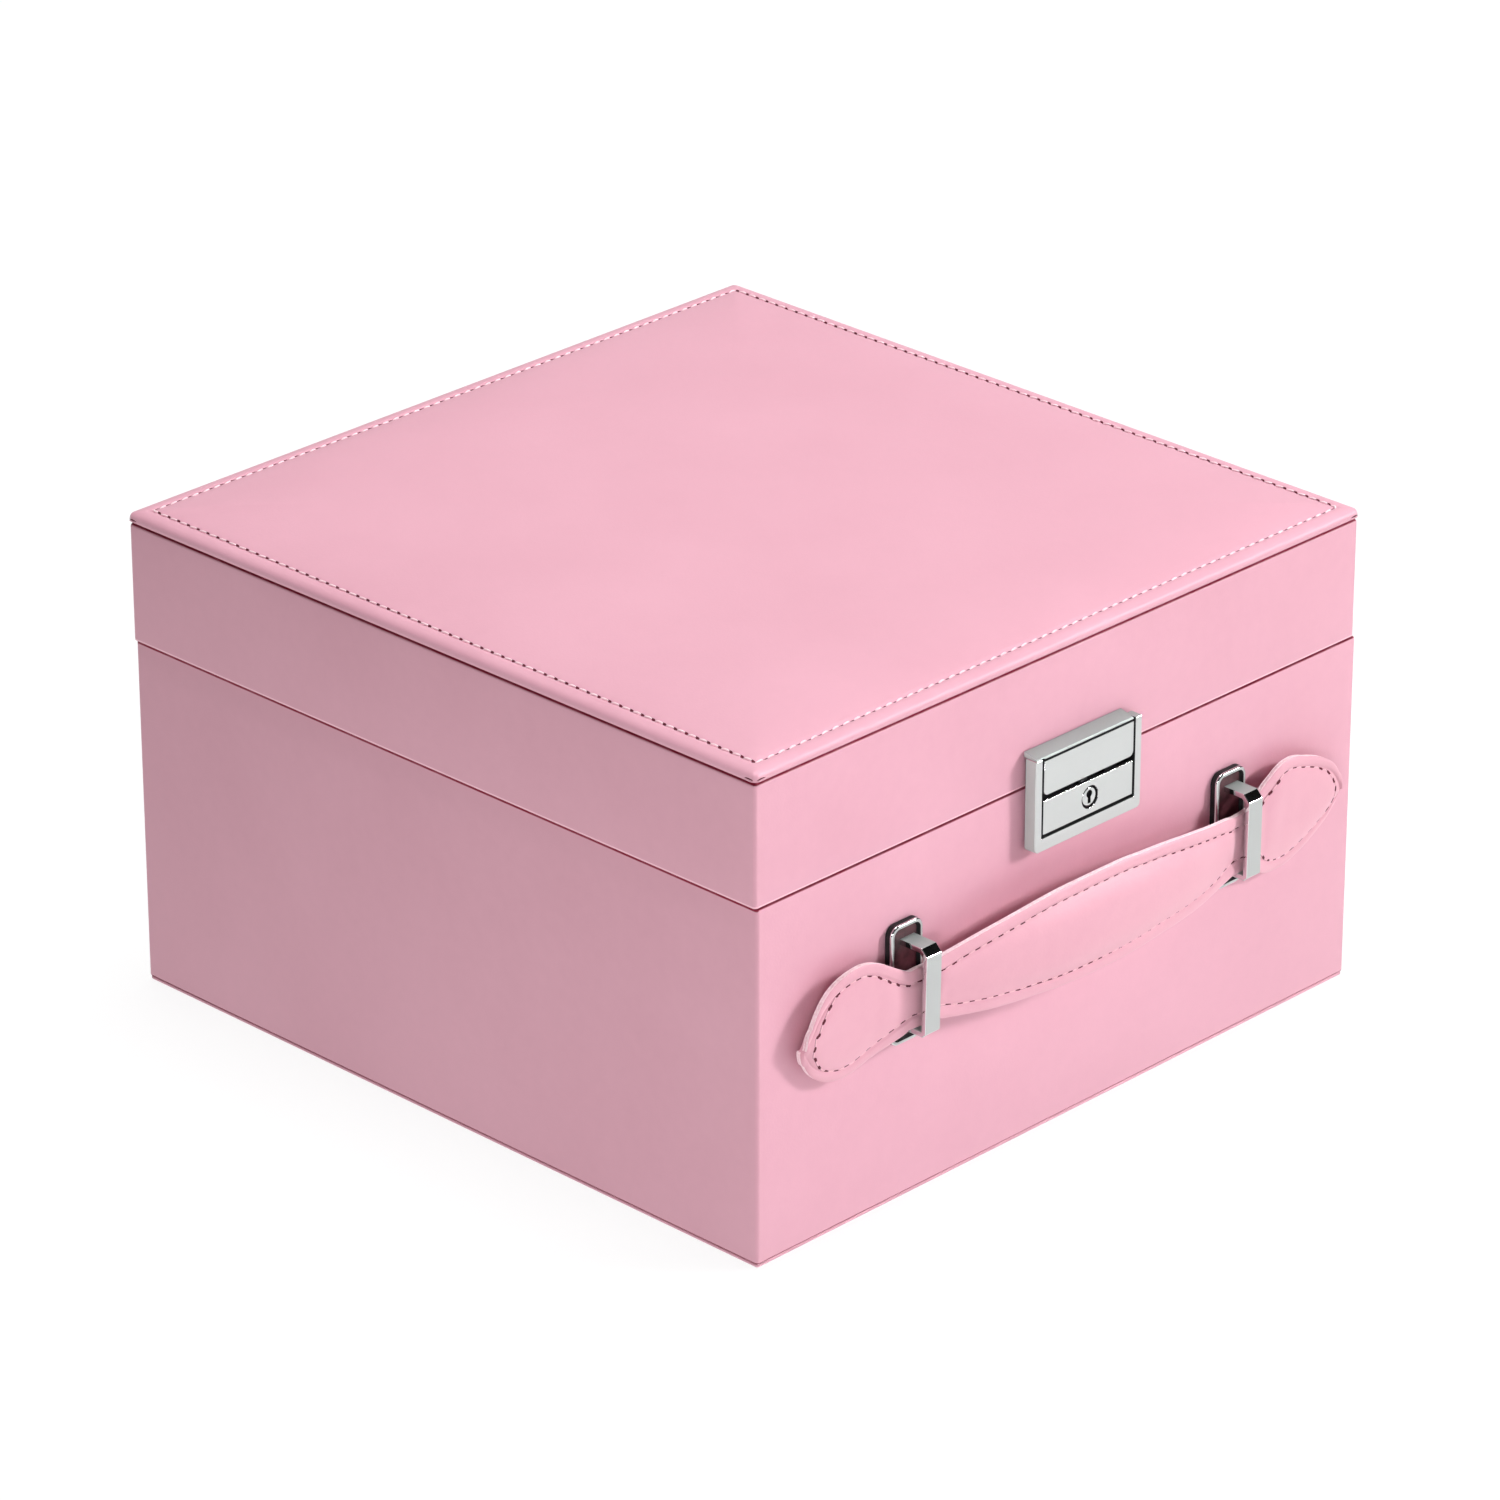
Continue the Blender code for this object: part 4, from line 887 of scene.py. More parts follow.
def strap_line():
    """The stitch line inside the strap's outline, all the way round, laid on the outer ply."""
    edge = []
    for k, side in ((-1, 1), (1, 1), (1, -1), (-1, -1)):
        n = 420
        run = [TIPS[0 if k < 0 else 1] * math.sin(math.pi / 2 * i / n) for i in range(n + 1)]
        if (k < 0) == (side > 0):
            run.reverse()
        edge += [(k * v, strap_zc(k * max(v, 1e-6)) + side * half_height(k * max(v, 1e-6))) for v in run]
    pts = []
    m = len(edge)
    for i in range(m):
        x, z = edge[i]
        xa, za = edge[(i - 4) % m]
        xb, zb = edge[(i + 4) % m]
        d = Vector((xb - xa, zb - za))
        if d.length < 1e-6:
            continue
        d.normalize()
        ins = smooth_table(STITCH, abs(x))
        pts.append((x + d.y * ins, z - d.x * ins, ins))
    keep = []
    for x, z, ins in pts:
        # drop what the offset folds over
        if min((x - a) ** 2 + (z - b) ** 2 for a, b in edge[::6]) < (ins - 0.22) ** 2:
            continue
        if not keep or (Vector((x, z)) - Vector(keep[-1])).length > 0.35:
            keep.append((x, z))
    keep.append(keep[0])
    return [(STRAP_X + x, z) for x, z in keep]


def rolled_under(p):
    """On the right half the grip's lower edge rolls under, and the lower row goes with it."""
    s = p[0] - STRAP_X
    low = 1.0 if p[2] < strap_zc(s) - 4.0 else 0.0
    return low * smoothstep(-6.0, 8.0, s) * (1 - smoothstep(44.0, 50.0, s))


stitches("strap_stitch", lay(strap_line(), lambda p: (p[0], fy(3.0), p[1]), (0, 1, 0), front, 30.0),
         "strap", 3.9, 2.7, 0.22, 0.15, slant=0.10, hole=0.52, cord=0.11, thread=M_THREAD_STRAP,
         sunk=rolled_under)

# ================================================================== METALWORK
# lock housing
WIN = LOCK_HALF - 2.6
RAIL_FRONT = 4.72
c = 1.4
x0, x1 = LOCK_X - LOCK_HALF, LOCK_X + LOCK_HALF
u_poly = [(x0, LOCK_Z1)] + [(x0 + c - c * math.cos(math.radians(a)), LOCK_Z0 + c - c * math.sin(math.radians(a)))
                            for a in (0, 22.5, 45, 67.5, 90)]
u_poly += [(x1 - c + c * math.sin(math.radians(a)), LOCK_Z0 + c - c * math.cos(math.radians(a)))
           for a in (0, 22.5, 45, 67.5, 90)]
u_poly += [(x1, LOCK_Z1), (LOCK_X + WIN, LOCK_Z1), (LOCK_X + WIN, 88.2), (LOCK_X - WIN, 88.2),
           (LOCK_X - WIN, LOCK_Z1)]
bm = bmesh.new()
prism_into(bm, u_poly, 'Y', fy(RAIL_FRONT), fy(0.9))
housing = finish_mesh("lock_housing_body", bm, M_CHROME, 40)
bevel(housing, 0.34, 3, 50)
apply_boolean(housing, 'UNION', lambda bm: box_into(bm, x0 + 1.0, x1 - 1.0, fy(1.05), fy(0.3), 89.0, 101.2))
flat_metal(housing)


def paint(ob, rules):
    """Give faces a material by (depth, centre in mm, normal): finishes, near-black painted shade, a painted reflection
    and lit and shaded copies of the plating; the first rule that holds wins.
    """
    slots = {}
    for f in ob.data.polygons:
        p = f.center / MM
        for mat, test in rules:
            if test(-HY - p.y, p, f.normal):
                if mat.name not in slots:
                    ob.data.materials.append(mat)
                    slots[mat.name] = len(ob.data.materials) - 1
                f.material_index = slots[mat.name]
                break


# painted shade: the inside of the lock window gets the near-black recess colour; left and top faces get the lit and
# shaded copies of the plating
paint(housing, [
    (M_RECESS, lambda d, p, n: abs(p.x - LOCK_X) < WIN + 0.15 and p.z > 87.8 and (d < 4.3 or abs(n.y) < 0.75)),
    (M_SATIN, lambda d, p, n: n.y < -0.93),
    (M_SATIN_SIDE_PAINTED_LIGHT, lambda d, p, n: n.x < -0.8),
    (M_SATIN_TOP_PAINTED_SHADE, lambda d, p, n: n.z > 0.8)])
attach(housing, "base")
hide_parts("lock_housing")

# face plate: a wider gap on the left, as on the flap above it
PX0, PX1 = LOCK_X - WIN + 0.75, LOCK_X + WIN - 0.42
bm = bmesh.new()
box_into(bm, PX0, PX1, fy(4.5), fy(3.5), 88.95, 98.55)
plate = finish_mesh("lock_face", bm, M_CHROME, 40)
apply_boolean(plate, 'DIFFERENCE', lambda bm: lathe_into(
    bm, [(PLUG_R + 0.56, fy(6.0)), (PLUG_R + 0.56, fy(2.8))], (PLUG_X, 0, PLUG_Z), 'Y', 48))
bevel(plate, 0.2, 3, 50)
flat_metal(plate)
# painted shade: the keyhole's wall gets the near-black recess colour
paint(plate, [(M_RECESS, lambda d, p, n: d < 4.2 and n.y > -0.9), (M_SATIN, lambda d, p, n: n.y < -0.93)])
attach(plate, "base")
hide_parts("lock_face_plate")

bm = bmesh.new()
lathe_into(bm, [(1.0, fy(1.3)), (1.0, fy(2.5)), (PLUG_R, fy(2.5)), (PLUG_R, fy(3.95)), (PLUG_R - 0.07, fy(4.08)),
                (PLUG_R - 0.2, fy(4.16)), (PLUG_R - 0.45, fy(4.18))], (PLUG_X, 0, PLUG_Z), 'Y', 48)
plug = finish_mesh("key_cylinder_plug", bm, M_CHROME, 40)
apply_boolean(plug, 'DIFFERENCE', lambda bm: box_into(bm, PLUG_X - 0.56, PLUG_X + 0.56, fy(6.0), fy(3.0),
                                                     PLUG_Z - 1.9, PLUG_Z + 0.9))
apply_boolean(plug, 'DIFFERENCE', lambda bm: lathe_into(
    bm, [(1.1, fy(6.0)), (1.1, fy(3.1))], (PLUG_X, 0, PLUG_Z + 0.8), 'Y', 24))
flat_metal(plug)
# painted shade: the keyway gets the near-black recess colour
paint(plug, [(M_RECESS, lambda d, p, n: d < 4.0), (M_SATIN, lambda d, p, n: n.y < -0.95)])
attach(plug, "key_cylinder")
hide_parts("key_plug")

# hasp flap, with its sloping cap over the stiles
sec = [(fy(0.3), 102.5), (fy(1.1), 102.5), (fy(1.1), LOCK_Z1 - 0.2), (fy(3.7), LOCK_Z1 - 1.0),
       (fy(3.7), 100.0), (fy(4.6), 100.0), (fy(4.6), LOCK_Z1), (fy(0.25), LOCK_Z1 + 1.2)]
bm = bmesh.new()
prism_into(bm, sec, 'X', PX0, PX1)
flap = finish_mesh("hasp_flap_body", bm, M_CHROME, 40)
r = 1.6


def corner(sx):
    cx = PX0 + r if sx < 0 else PX1 - r
    far = PX0 - 1.0 if sx < 0 else PX1 + 1.0
    pts = [(cx + sx * r * math.sin(math.pi / 2 * i / 8), 100.0 + r - r * math.cos(math.pi / 2 * i / 8))
           for i in range(9)]
    return pts + [(far, 100.0 + r), (far, 99.0), (cx, 99.0)]


for sx in (-1, 1):
    apply_boolean(flap, 'DIFFERENCE', lambda bm: prism_into(bm, corner(sx), 'Y', fy(5.5), fy(2.6)))
bevel(flap, 0.2, 3, 50)
# the line between the flap's face and its cap
apply_boolean(flap, 'DIFFERENCE', lambda bm: box_into(
    bm, PX0 - 1.0, PX1 + 1.0, fy(5.5), fy(4.2), LOCK_Z1 - 0.95, LOCK_Z1 - 0.20))
cap = [(fy(0.3), LOCK_Z1 + 0.12), (fy(4.55), LOCK_Z1 + 0.1), (fy(4.74), LOCK_Z1 + 0.22), (fy(4.6), LOCK_Z1 + 0.5),
       (fy(0.3), LOCK_Z1 + 1.6)]
lip = hidden_cutter("cap", lambda bm: prism_into(bm, cap, 'X', x0 + 0.15, LOCK_X + WIN - 0.9))
b = lip.modifiers.new("bevel", 'BEVEL')
b.width = 0.12 * MM
b.segments = 2
b.limit_method = 'ANGLE'
b.angle_limit = math.radians(40)
apply_all(lip)
m = flap.modifiers.new("bool", 'BOOLEAN')
m.operation = 'UNION'
m.solver = 'EXACT'
m.object = lip
apply_all(flap)
bpy.data.objects.remove(lip, do_unlink=True)
apply_boolean(flap, 'UNION', lambda bm: box_into(bm, 10.4, 15.0, fy(3.9), fy(0.9), 103.0, 105.2))
hook = [(7.5, 89.5), (14.5, 89.5), (14.5, 104.0), (11.9, 104.0), (11.9, 92.2), (7.5, 92.2)]
apply_boolean(flap, 'UNION', lambda bm: prism_into(bm, hook, 'Y', fy(2.3), fy(1.5)))
flap.data.materials.clear()
flap.data.materials.append(M_CHROME)
flat_metal(flap)
# painted shade: the groove under the cap and the faces behind the flap get the near-black recess colour, and the cap's
# top the darker top copy of the plating; the cap's front lip and left side get the side copy, painted light in place of
# a chrome highlight
paint(flap, [
    (M_RECESS, lambda d, p, n: LOCK_Z1 - 0.99 < p.z < LOCK_Z1 - 0.14 and 4.1 < d < 4.58),
    (M_SATIN_SIDE_PAINTED_LIGHT, lambda d, p, n: p.z > LOCK_Z1 - 0.14 and d > 4.4 and n.z < 0.7 and n.y < -0.2),
    (M_RECESS, lambda d, p, n: d < 4.25 and p.z < LOCK_Z1 - 0.15),
    (M_SATIN, lambda d, p, n: n.y < -0.93 and p.z < LOCK_Z1),
    (M_SATIN_TOP_PAINTED_SHADE, lambda d, p, n: n.z > 0.7 and p.z > LOCK_Z1),
    (M_SATIN_SIDE_PAINTED_LIGHT, lambda d, p, n: n.x < -0.8 and p.z > LOCK_Z1)])
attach(flap, "lid")
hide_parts("hasp_flap")

# handle brackets
for sgn, side, dt, db in ((-1, "left", 11.2, 10.8), (1, "right", 10.5, 10.4)):
    bx = STRAP_X + sgn * BAR_X
    px = bx + BRACKET_DX
    bm = bmesh.new()
    loops = []
    for inset, d in ((0.0, 0.3), (0.0, 1.9), (0.05, 2.15), (0.2, 2.38), (0.45, 2.5), (1.05, 2.5), (1.2, 2.42),
                     (1.35, 2.2), (1.5, 1.7), (1.7, 1.55)):
        loops.append([(px + p[0], fy(d), BRACKET_Z + p[1])
                      for p in rr_path(5.95 - inset, 17.1 - inset, max(3.0 - inset, 1.0), 8)])
    loft(bm, loops)
    br = finish_mesh("handle_bracket_" + side, bm, M_CHROME, 40)
    z0, z1, t = 50.9, 76.2, 1.6
    c_poly = [(fy(1.2), z0), (fy(db - 1.1), z0), (fy(db), z0 + 1.1), (fy(dt), z1 - 2.1), (fy(dt - 2.1), z1),
              (fy(1.2), z1), (fy(1.2), z1 - t), (fy(dt - 2.7), z1 - t), (fy(dt - t), z1 - t - 1.1),
              (fy(db - t), z0 + t), (fy(1.2), z0 + t)]
    lp = hidden_cutter("loop", lambda bm: prism_into(bm, c_poly, 'X', -2.75, 2.75, c=(bx, 0.0, 0.0)))
    b = lp.modifiers.new("bevel", 'BEVEL')
    b.width = 0.26 * MM
    b.segments = 3
    b.limit_method = 'ANGLE'
    b.angle_limit = math.radians(30)
    apply_all(lp)
    m = br.modifiers.new("bool", 'BOOLEAN')
    m.operation = 'UNION'
    m.solver = 'EXACT'
    m.object = lp
    apply_all(br)
    bpy.data.objects.remove(lp, do_unlink=True)
    br.data.materials.clear()
    br.data.materials.append(M_CHROME)
    flat_metal(br)
    # painted shade and reflection: the plate's recess behind the loop gets the dark red-brown painted reflection; its
    # walls, inner sides, back and underside faces get near-black painted shade; the bar's front and top take the darker
    # shaded copies of the plating
    paint(br, [
        (M_RECESS_PAINTED_REFLECTION, lambda d, p, n: d < 1.75 and n.y < -0.9),
        (M_RECESS, lambda d, p, n: d < 1.7 and n.y > -0.5),
        (M_RECESS, lambda d, p, n: d < 2.46 and (p.x - px) * n.x + (p.z - BRACKET_Z) * n.z < 0 and n.y > -0.9),
        (M_SATIN_BAR_PAINTED_SHADE, lambda d, p, n: n.y < -0.93),
        (M_SATIN_TOP_PAINTED_SHADE, lambda d, p, n: n.z > 0.9 and d > 2.4),
        (M_RECESS, lambda d, p, n: n.y > 0.9 or (n.z < -0.9 and p.z > 60)),
        (M_SATIN, lambda d, p, n: n.x < -0.9 and p.z < 54)])
    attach(br, "base")
    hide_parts("bracket_" + side)

# ================================================================== LINED INTERIOR
M_PIPING = plain_noise_mat("piping_cord", (0.46, 0.22, 0.25), (0.66, 0.38, 0.41), 0.6, 1800.0)


def soften(lp, amp, scale, seed, cx=0.0, cy=0.0):
    """Cloth over padding: every point drifts a little."""
    out = []
    for p in lp:
        v = noise.noise_vector(Vector(((p[0] + cx) * scale, (p[1] + cy) * scale, p[2] * scale + seed)))
        out.append((p[0] + cx + v.x * amp, p[1] + cy + v.y * amp, p[2] + v.z * amp))
    return out


def soft_piece(name, prof, hx, hy, r, body, nodes, amp=0.12, scale=0.06, seed=0.0, n=8, side=20,
               rmin=0.8, cx=0.0, cy=0.0, closed=False, mat=None):
    bm = bmesh.new()
    loft(bm, [soften(lp, amp, scale, seed, cx, cy) for lp in ring_loops(prof, hx, hy, r, n, side, rmin)],
         closed=closed)
    ob = finish_mesh(name, bm, mat or M_VELVET, 70, body, nodes)
    return ob


def piping(name, hx, hy, r, z, rad, body, cx=0.0, cy=0.0, n=8, side=40):
    path = rr_path(hx, hy, r, n, side)
    m = len(path)
    loops = []
    for i in range(m):
        p, q, o = path[i], path[(i + 1) % m], path[i - 1]
        d = Vector((q[0] - o[0], q[1] - o[1], 0)).normalized()
        s = Vector((d.y, -d.x, 0))
        loops.append([(p[0] + cx + s.x * math.cos(a) * k, p[1] + cy + s.y * math.cos(a) * k, z + math.sin(a) * k)
                      for a, k in [(2 * math.pi * j / 10, rad * (1 + 0.05 * math.sin(i * 1.9 + j)))
                                   for j in range(10)]])
    bm = bmesh.new()
    loft(bm, loops, closed=True)
    return finish_mesh(name, bm, M_PIPING, 70, body)


def walls(inset, za, zb, step=7.0):
    n = max(2, int(abs(zb - za) / step))
    return [(inset, za + (zb - za) * i / n) for i in range(1, n)]


def floor_pad(name, xa, xb, ya, yb, z, rise, body):
    """A crowned floor cushion with a corded seam round it."""
    cx, cy, hx, hy = (xa + xb) / 2, (ya + yb) / 2, (xb - xa) / 2 - 0.5, (yb - ya) / 2 - 0.5
    prof = [(2.0, z), (0.7, z + 0.05), (0.25, z + 0.45), (0.3, z + 0.95)]
    last = min(hx, hy) - 1.5
    for e in (0.7, 1.1, 1.7, 2.5, 3.6, 5.2, 7.5, 10.5, 14.5, 20.0, 27.0, 36.0, 46.0):
        if e < last:
            prof.append((e, z + 1.0 + rise * (1 - math.exp(-e / 8.0))))
    prof.append((last, z + 1.0 + rise))
    pad = soft_piece(name, prof, hx, hy, 4.0, body, (), 0.22, 0.05, 2.0 + xa, 6, 14, 0.8, cx, cy)
    piping(name + "_cord", hx - 0.15, hy - 0.15, 4.0, z + 0.95, 0.5, body, cx, cy)
    return pad


def padded_bar(name, axis, a0, a1, c, half, z0, z1, body, node, rt):
    """A cloth-covered bar with rounded top edges, a seam low on each side and soft, slightly wavy faces."""
    sec = [(-half + 0.35, z0), (-half + 0.05, z0 + 0.3)]
    h = z1 - z0
    for i in range(1, 10):
        t = i / 10
        zz = z0 + 0.3 + (h - 0.3 - rt) * t
        swell = 0.10 * math.sin(math.pi * t) - (0.22 if i == 2 else 0.0)
        sec.append((-half - swell, zz))
    for i in range(0, 7):
        a = math.pi / 2 * i / 6
        sec.append((-half + rt - rt * math.cos(a), z1 - rt + rt * math.sin(a)))
    sec = sec + [(-u, v) for u, v in reversed(sec)]
    n = max(8, int((a1 - a0) / 3.5))
    loops = []
    for i in range(n + 1):
        t = i / n
        a = a0 + (a1 - a0) * t
        e = min(a - a0, a1 - a)
        k = 0.90 + 0.10 * smoothstep(0.0, 1.2, e)
        lp = []
        for u, v in sec:
            q = noise.noise(Vector((a * 0.07, v * 0.10, c + (0.0 if u < 0 else 9.0))))
            uu = u * k + math.copysign(0.12, u) * q
            vv = z0 + (v - z0) * (k * 0.2 + 0.8) + 0.16 * q * (v - z0) / h
            lp.append((a, c + uu, vv) if axis == 'X' else (c + uu, a, vv))
        loops.append(lp)
    bm = bmesh.new()
    loft(bm, loops)
    ob = finish_mesh(name, bm, M_VELVET, 70, body, (node,))
    return ob


# lower case: lining, ledges, dividers and four floor cushions
prof = [(INN - LEATHER, 6.6), (INN - LEATHER, 91.6), (LIN, 91.6), (LIN, 97.9), (LIN + 0.1, 98.3), (LIN + 0.3, 98.55),
        (LIN + 0.5, 98.6), (LIN + 0.7, 98.55), (LIN + 0.9, 98.3), (LIN + 1.0, 97.9)]
prof += walls(LIN + 1.0, 97.9, 11.5) + [(LIN + 1.0, 11.5), (LIN + 1.2, 9.9), (LIN + 1.9, 8.7), (LIN + 3.2, 8.0),
                                        (LIN + 5.0, 7.8)]
prof += [(e, 7.8) for e in (20.0, 30.0, 45.0, 65.0, 90.0)]
soft_piece("base_lining_cloth", prof, HX, HY, R_BODY, "base", ("base_lining",), 0.09, 0.05, 0.0, 8, 24)
for sgn, side in ((-1, "left"), (1, "right")):
    xa, xb = sorted((sgn * (IX - GAP), sgn * (IX - GAP - 5.5)))
    padded_bar("ledge_pad_" + side, 'Y', -100.0, 100.0, (xa + xb) / 2, 2.6, 56.0, 59.9, "base", "tray_ledge_" + side, 1.2)
padded_bar("lower_pad_long", 'X', -IX + 0.5, IX - 0.5, 10.0, 1.4, 8.1, 47.9, "base", "lower_divider_long", 1.35)
padded_bar("lower_pad_front", 'Y', -IY + 0.5, 8.3, 0.0, 1.4, 8.1, 47.7, "base", "lower_divider_front", 1.35)
padded_bar("lower_pad_back", 'Y', 11.7, IY - 0.5, 35.0, 1.4, 8.1, 47.7, "base", "lower_divider_back", 1.35)
floor_pad("floor_cushion_1", -IX, -1.6, -IY, 8.4, 8.0, 5.2, "base")
floor_pad("floor_cushion_2", 1.6, IX, -IY, 8.4, 8.0, 5.2, "base")
floor_pad("floor_cushion_3", -IX, 33.4, 11.6, IY, 8.0, 5.2, "base")
floor_pad("floor_cushion_4", 36.6, IX, 11.6, IY, 8.0, 4.8, "base")

# tray: shell, lining, corded rim, dividers, cushions and ring rolls
Z0, Z1 = TRAY_Z0, TRAY_Z1
prof = [(2.0, Z0), (0.6, Z0 + 0.05), (0.15, Z0 + 0.4), (0.0, Z0 + 1.0)] + walls(0.0, Z0 + 1.0, Z1 - 1.5)
prof += [(1.5 - 1.5 * math.cos(math.radians(a)), Z1 - 1.5 + 1.5 * math.sin(math.radians(a)))
         for a in (0, 20, 40, 60, 80, 100, 120, 140, 160, 180)]
prof += [(3.0, Z0 + 3.5), (3.2, Z0 + 2.8), (60.0, Z0 + 2.8)]
soft_piece("tray_shell_cloth", prof, TRAY_HX, TRAY_HY, 2.0, "tray", ("tray_shell",), 0.06, 0.05, 5.0, 8, 24)
prof = [(3.3, Z0 + 3.1), (3.3, 94.1), (3.45, 94.45), (3.85, 94.6), (4.25, 94.45), (4.4, 94.1)]
prof += walls(4.4, 94.1, Z0 + 7.0) + [(4.4, Z0 + 7.0), (4.7, Z0 + 5.6), (5.4, Z0 + 4.7), (6.6, Z0 + 4.25)]
prof += [(e, Z0 + 4.2) for e in (12.0, 24.0, 40.0, 60.0, 85.0)]
soft_piece("tray_lining_cloth", prof, TRAY_HX, TRAY_HY, 2.0, "tray", ("tray_lining",), 0.09, 0.05, 7.0,
           8, 24)
piping("tray_rim_cord", TRAY_HX - 3.35, TRAY_HY - 3.35, 1.0, 94.85, 0.55, "tray")
TX, TY, TF, TD = TRAY_HX - 4.7, TRAY_HY - 4.7, TRAY_Z0 + 4.5, 92.0
padded_bar("tray_pad_long", 'X', -TX + 0.1, TX - 0.1, 0.0, 1.25, TF, TD - 0.1, "tray", "tray_divider_long", 1.2)
padded_bar("tray_pad_front", 'Y', -TY + 0.1, -1.7, 31.3, 1.25, TF, TD - 0.3, "tray", "tray_divider_front", 1.2)
padded_bar("tray_pad_back", 'Y', 1.7, TY - 0.1, -20.0, 1.25, TF, TD - 0.3, "tray", "tray_divider_back", 1.2)
floor_pad("tray_cushion_1", 32.8, TX, -TY, -1.6, TF - 0.1, 4.6, "tray")
floor_pad("tray_cushion_2", -TX, -21.4, 1.6, TY, TF - 0.1, 4.6, "tray")
floor_pad("tray_cushion_3", -18.6, TX, 1.6, TY, TF - 0.1, 4.8, "tray")

ROLLS = 5
xa, xb = -TX + 0.2, 29.6
span = (TY - 1.6 - GAP) / ROLLS
for k in range(ROLLS):
    yc = -1.6 - GAP / 2 - span * (k + 0.5)
    w, h = (span - GAP) / 2, 20.0
    sec = [(-w + 1.6, 0.0), (-w + 0.5, 0.35), (-w, 1.4)]
    sec += [(-w, 1.4 + (h - w - 1.4) * t) for t in (0.35, 0.7, 1.0)]
    sec += [(-w * math.cos(math.pi * i / 20), h - w + w * math.sin(math.pi * i / 20)) for i in range(1, 20)]
    sec += [(-u, v) for u, v in reversed(sec[:6])]
    xs = [xa + 4.0 * (1 - math.cos(math.pi / 2 * i / 8)) for i in range(9)]
    n = 46
    xs += [xa + 4.0 + (xb - xa - 8.0) * i / n for i in range(1, n)]
    xs += [xb - 4.0 * (1 - math.cos(math.pi / 2 * i / 8)) for i in range(8, -1, -1)]
    loops = []
    for x in xs:
        e = min(x - xa, xb - x)
        t = min(e / 4.0, 1.0)
        kk = 0.55 + 0.45 * math.sqrt(max(1 - (1 - t) ** 2, 0.0))
        lp = []
        for j, (u, v) in enumerate(sec):
            ang = math.atan2(v - 8.0, u)
            pucker = 0.28 * math.cos(13 * ang + k) * math.exp(-((e - 3.2) / 3.4) ** 2) * (1 if v > 2 else 0)
            soft = 0.22 * noise.noise(Vector((x * 0.05, u * 0.12 + 7 * k, v * 0.12)))
            m = kk * (1 + (pucker + min(soft, 0.1) - 0.15) / w)
            lp.append((x, yc + u * m, TF + 0.1 + max(0.0, (v - 8.0) * m + 8.0)))
        loops.append(lp)
    bm = bmesh.new()
    loft(bm, loops)
    roll = finish_mesh("ring_cushion_%d" % (k + 1), bm, M_VELVET, 80, "tray", ("ring_roll_%d" % (k + 1),))

for sgn, side in ((-1, "left"), (1, "right")):
    hw, tt, low = 7.0, 96.2, 80.0
    tab = [(50.0 + hw * math.cos(math.pi * i / 20), tt - hw + hw * math.sin(math.pi * i / 20)) for i in range(21)]
    tab += [(50.0 - hw, low), (50.0 + hw, low)]
    xo, xi = sgn * (TX - 0.1), sgn * (TX - 1.35)
    bm = bmesh.new()
    prism_into(bm, tab, 'X', min(xo, xi), max(xo, xi))
    pull = finish_mesh("pull_tab_" + side, bm, M_STRAP, 40)
    bevel(pull, 0.28, 3, 50)
    paint(pull, [(M_EDGE, lambda d, p, n: abs(n.x) < 0.35)])
    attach(pull, "tray")
    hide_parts("tray_pull_tab_" + side)
    q = hw - 1.5
    run = [(50.0 + q, low + 1.5 + (tt - hw - low - 1.5) * i / 20) for i in range(20)]
    run += [(50.0 + q * math.cos(math.pi * i / 40), tt - hw + q * math.sin(math.pi * i / 40)) for i in range(41)]
    run += [(50.0 - q, low + 1.5 + (tt - hw - low - 1.5) * i / 20) for i in range(19, -1, -1)]
    run += [(50.0 - q + 2 * q * i / 20, low + 1.5) for i in range(1, 20)]
    line = []
    for i, (yy, zz) in enumerate(run):
        a, b = run[max(i - 1, 0)], run[min(i + 1, len(run) - 1)]
        t = Vector((0, b[0] - a[0], b[1] - a[1])).normalized()
        nn = Vector((-sgn, 0, 0))
        line.append(((xi, yy, zz), tuple(nn.cross(t)), tuple(nn)))
    stitches("pull_tab_stitch_" + side, line, "tray", 3.0, 1.9, 0.18, 0.15, hole=0.24)

# lid: lining with a padded border, and the mirror's padded frame
prof = [(INN - LEATHER, 130.6), (INN - LEATHER, 112.3), (LIN, 112.3), (LIN, 105.7), (LIN + 0.1, 105.3),
        (LIN + 0.3, 105.05), (LIN + 0.5, 105.0), (LIN + 0.7, 105.05), (LIN + 0.9, 105.3), (LIN + 1.0, 105.7)]
prof += walls(LIN + 1.0, 105.7, 127.6, 5.0) + [(LIN + 1.0, 127.6), (LIN + 1.25, 128.6), (LIN + 1.9, 129.1)]
prof += [(LIN + 1.9 + 13.4 * t, 129.15 - 1.9 * math.sin(math.pi * t) ** 0.75) for t in
         (0.06, 0.14, 0.24, 0.36, 0.5, 0.64, 0.76, 0.86, 0.94)]
prof += [(24.6, 129.2), (27.0, 129.35), (40.0, 129.4), (80.0, 129.4)]
soft_piece("lid_lining_cloth", prof, HX, HY, R_BODY, "lid", ("lid_lining",), 0.09, 0.05, 11.0, 8, 24)
piping("lid_border_cord", HX - LIN - 1.9, HY - LIN - 1.9, 1.0, 128.75, 0.5, "lid")
prof = [(0.3, 129.1), (0.05, 128.9), (0.0, 128.4), (0.0, 126.8), (0.1, 126.4), (0.35, 126.0), (0.8, 125.72),
        (1.4, 125.6), (1.9, 125.62), (2.2, 125.68), (2.5, 125.62), (3.2, 125.45), (4.5, 125.25), (6.2, 125.15),
        (8.0, 125.2), (9.6, 125.4), (10.8, 125.7), (11.5, 126.0), (11.9, 126.35), (12.0, 126.7), (9.0, 126.7),
        (9.0, 129.1)]
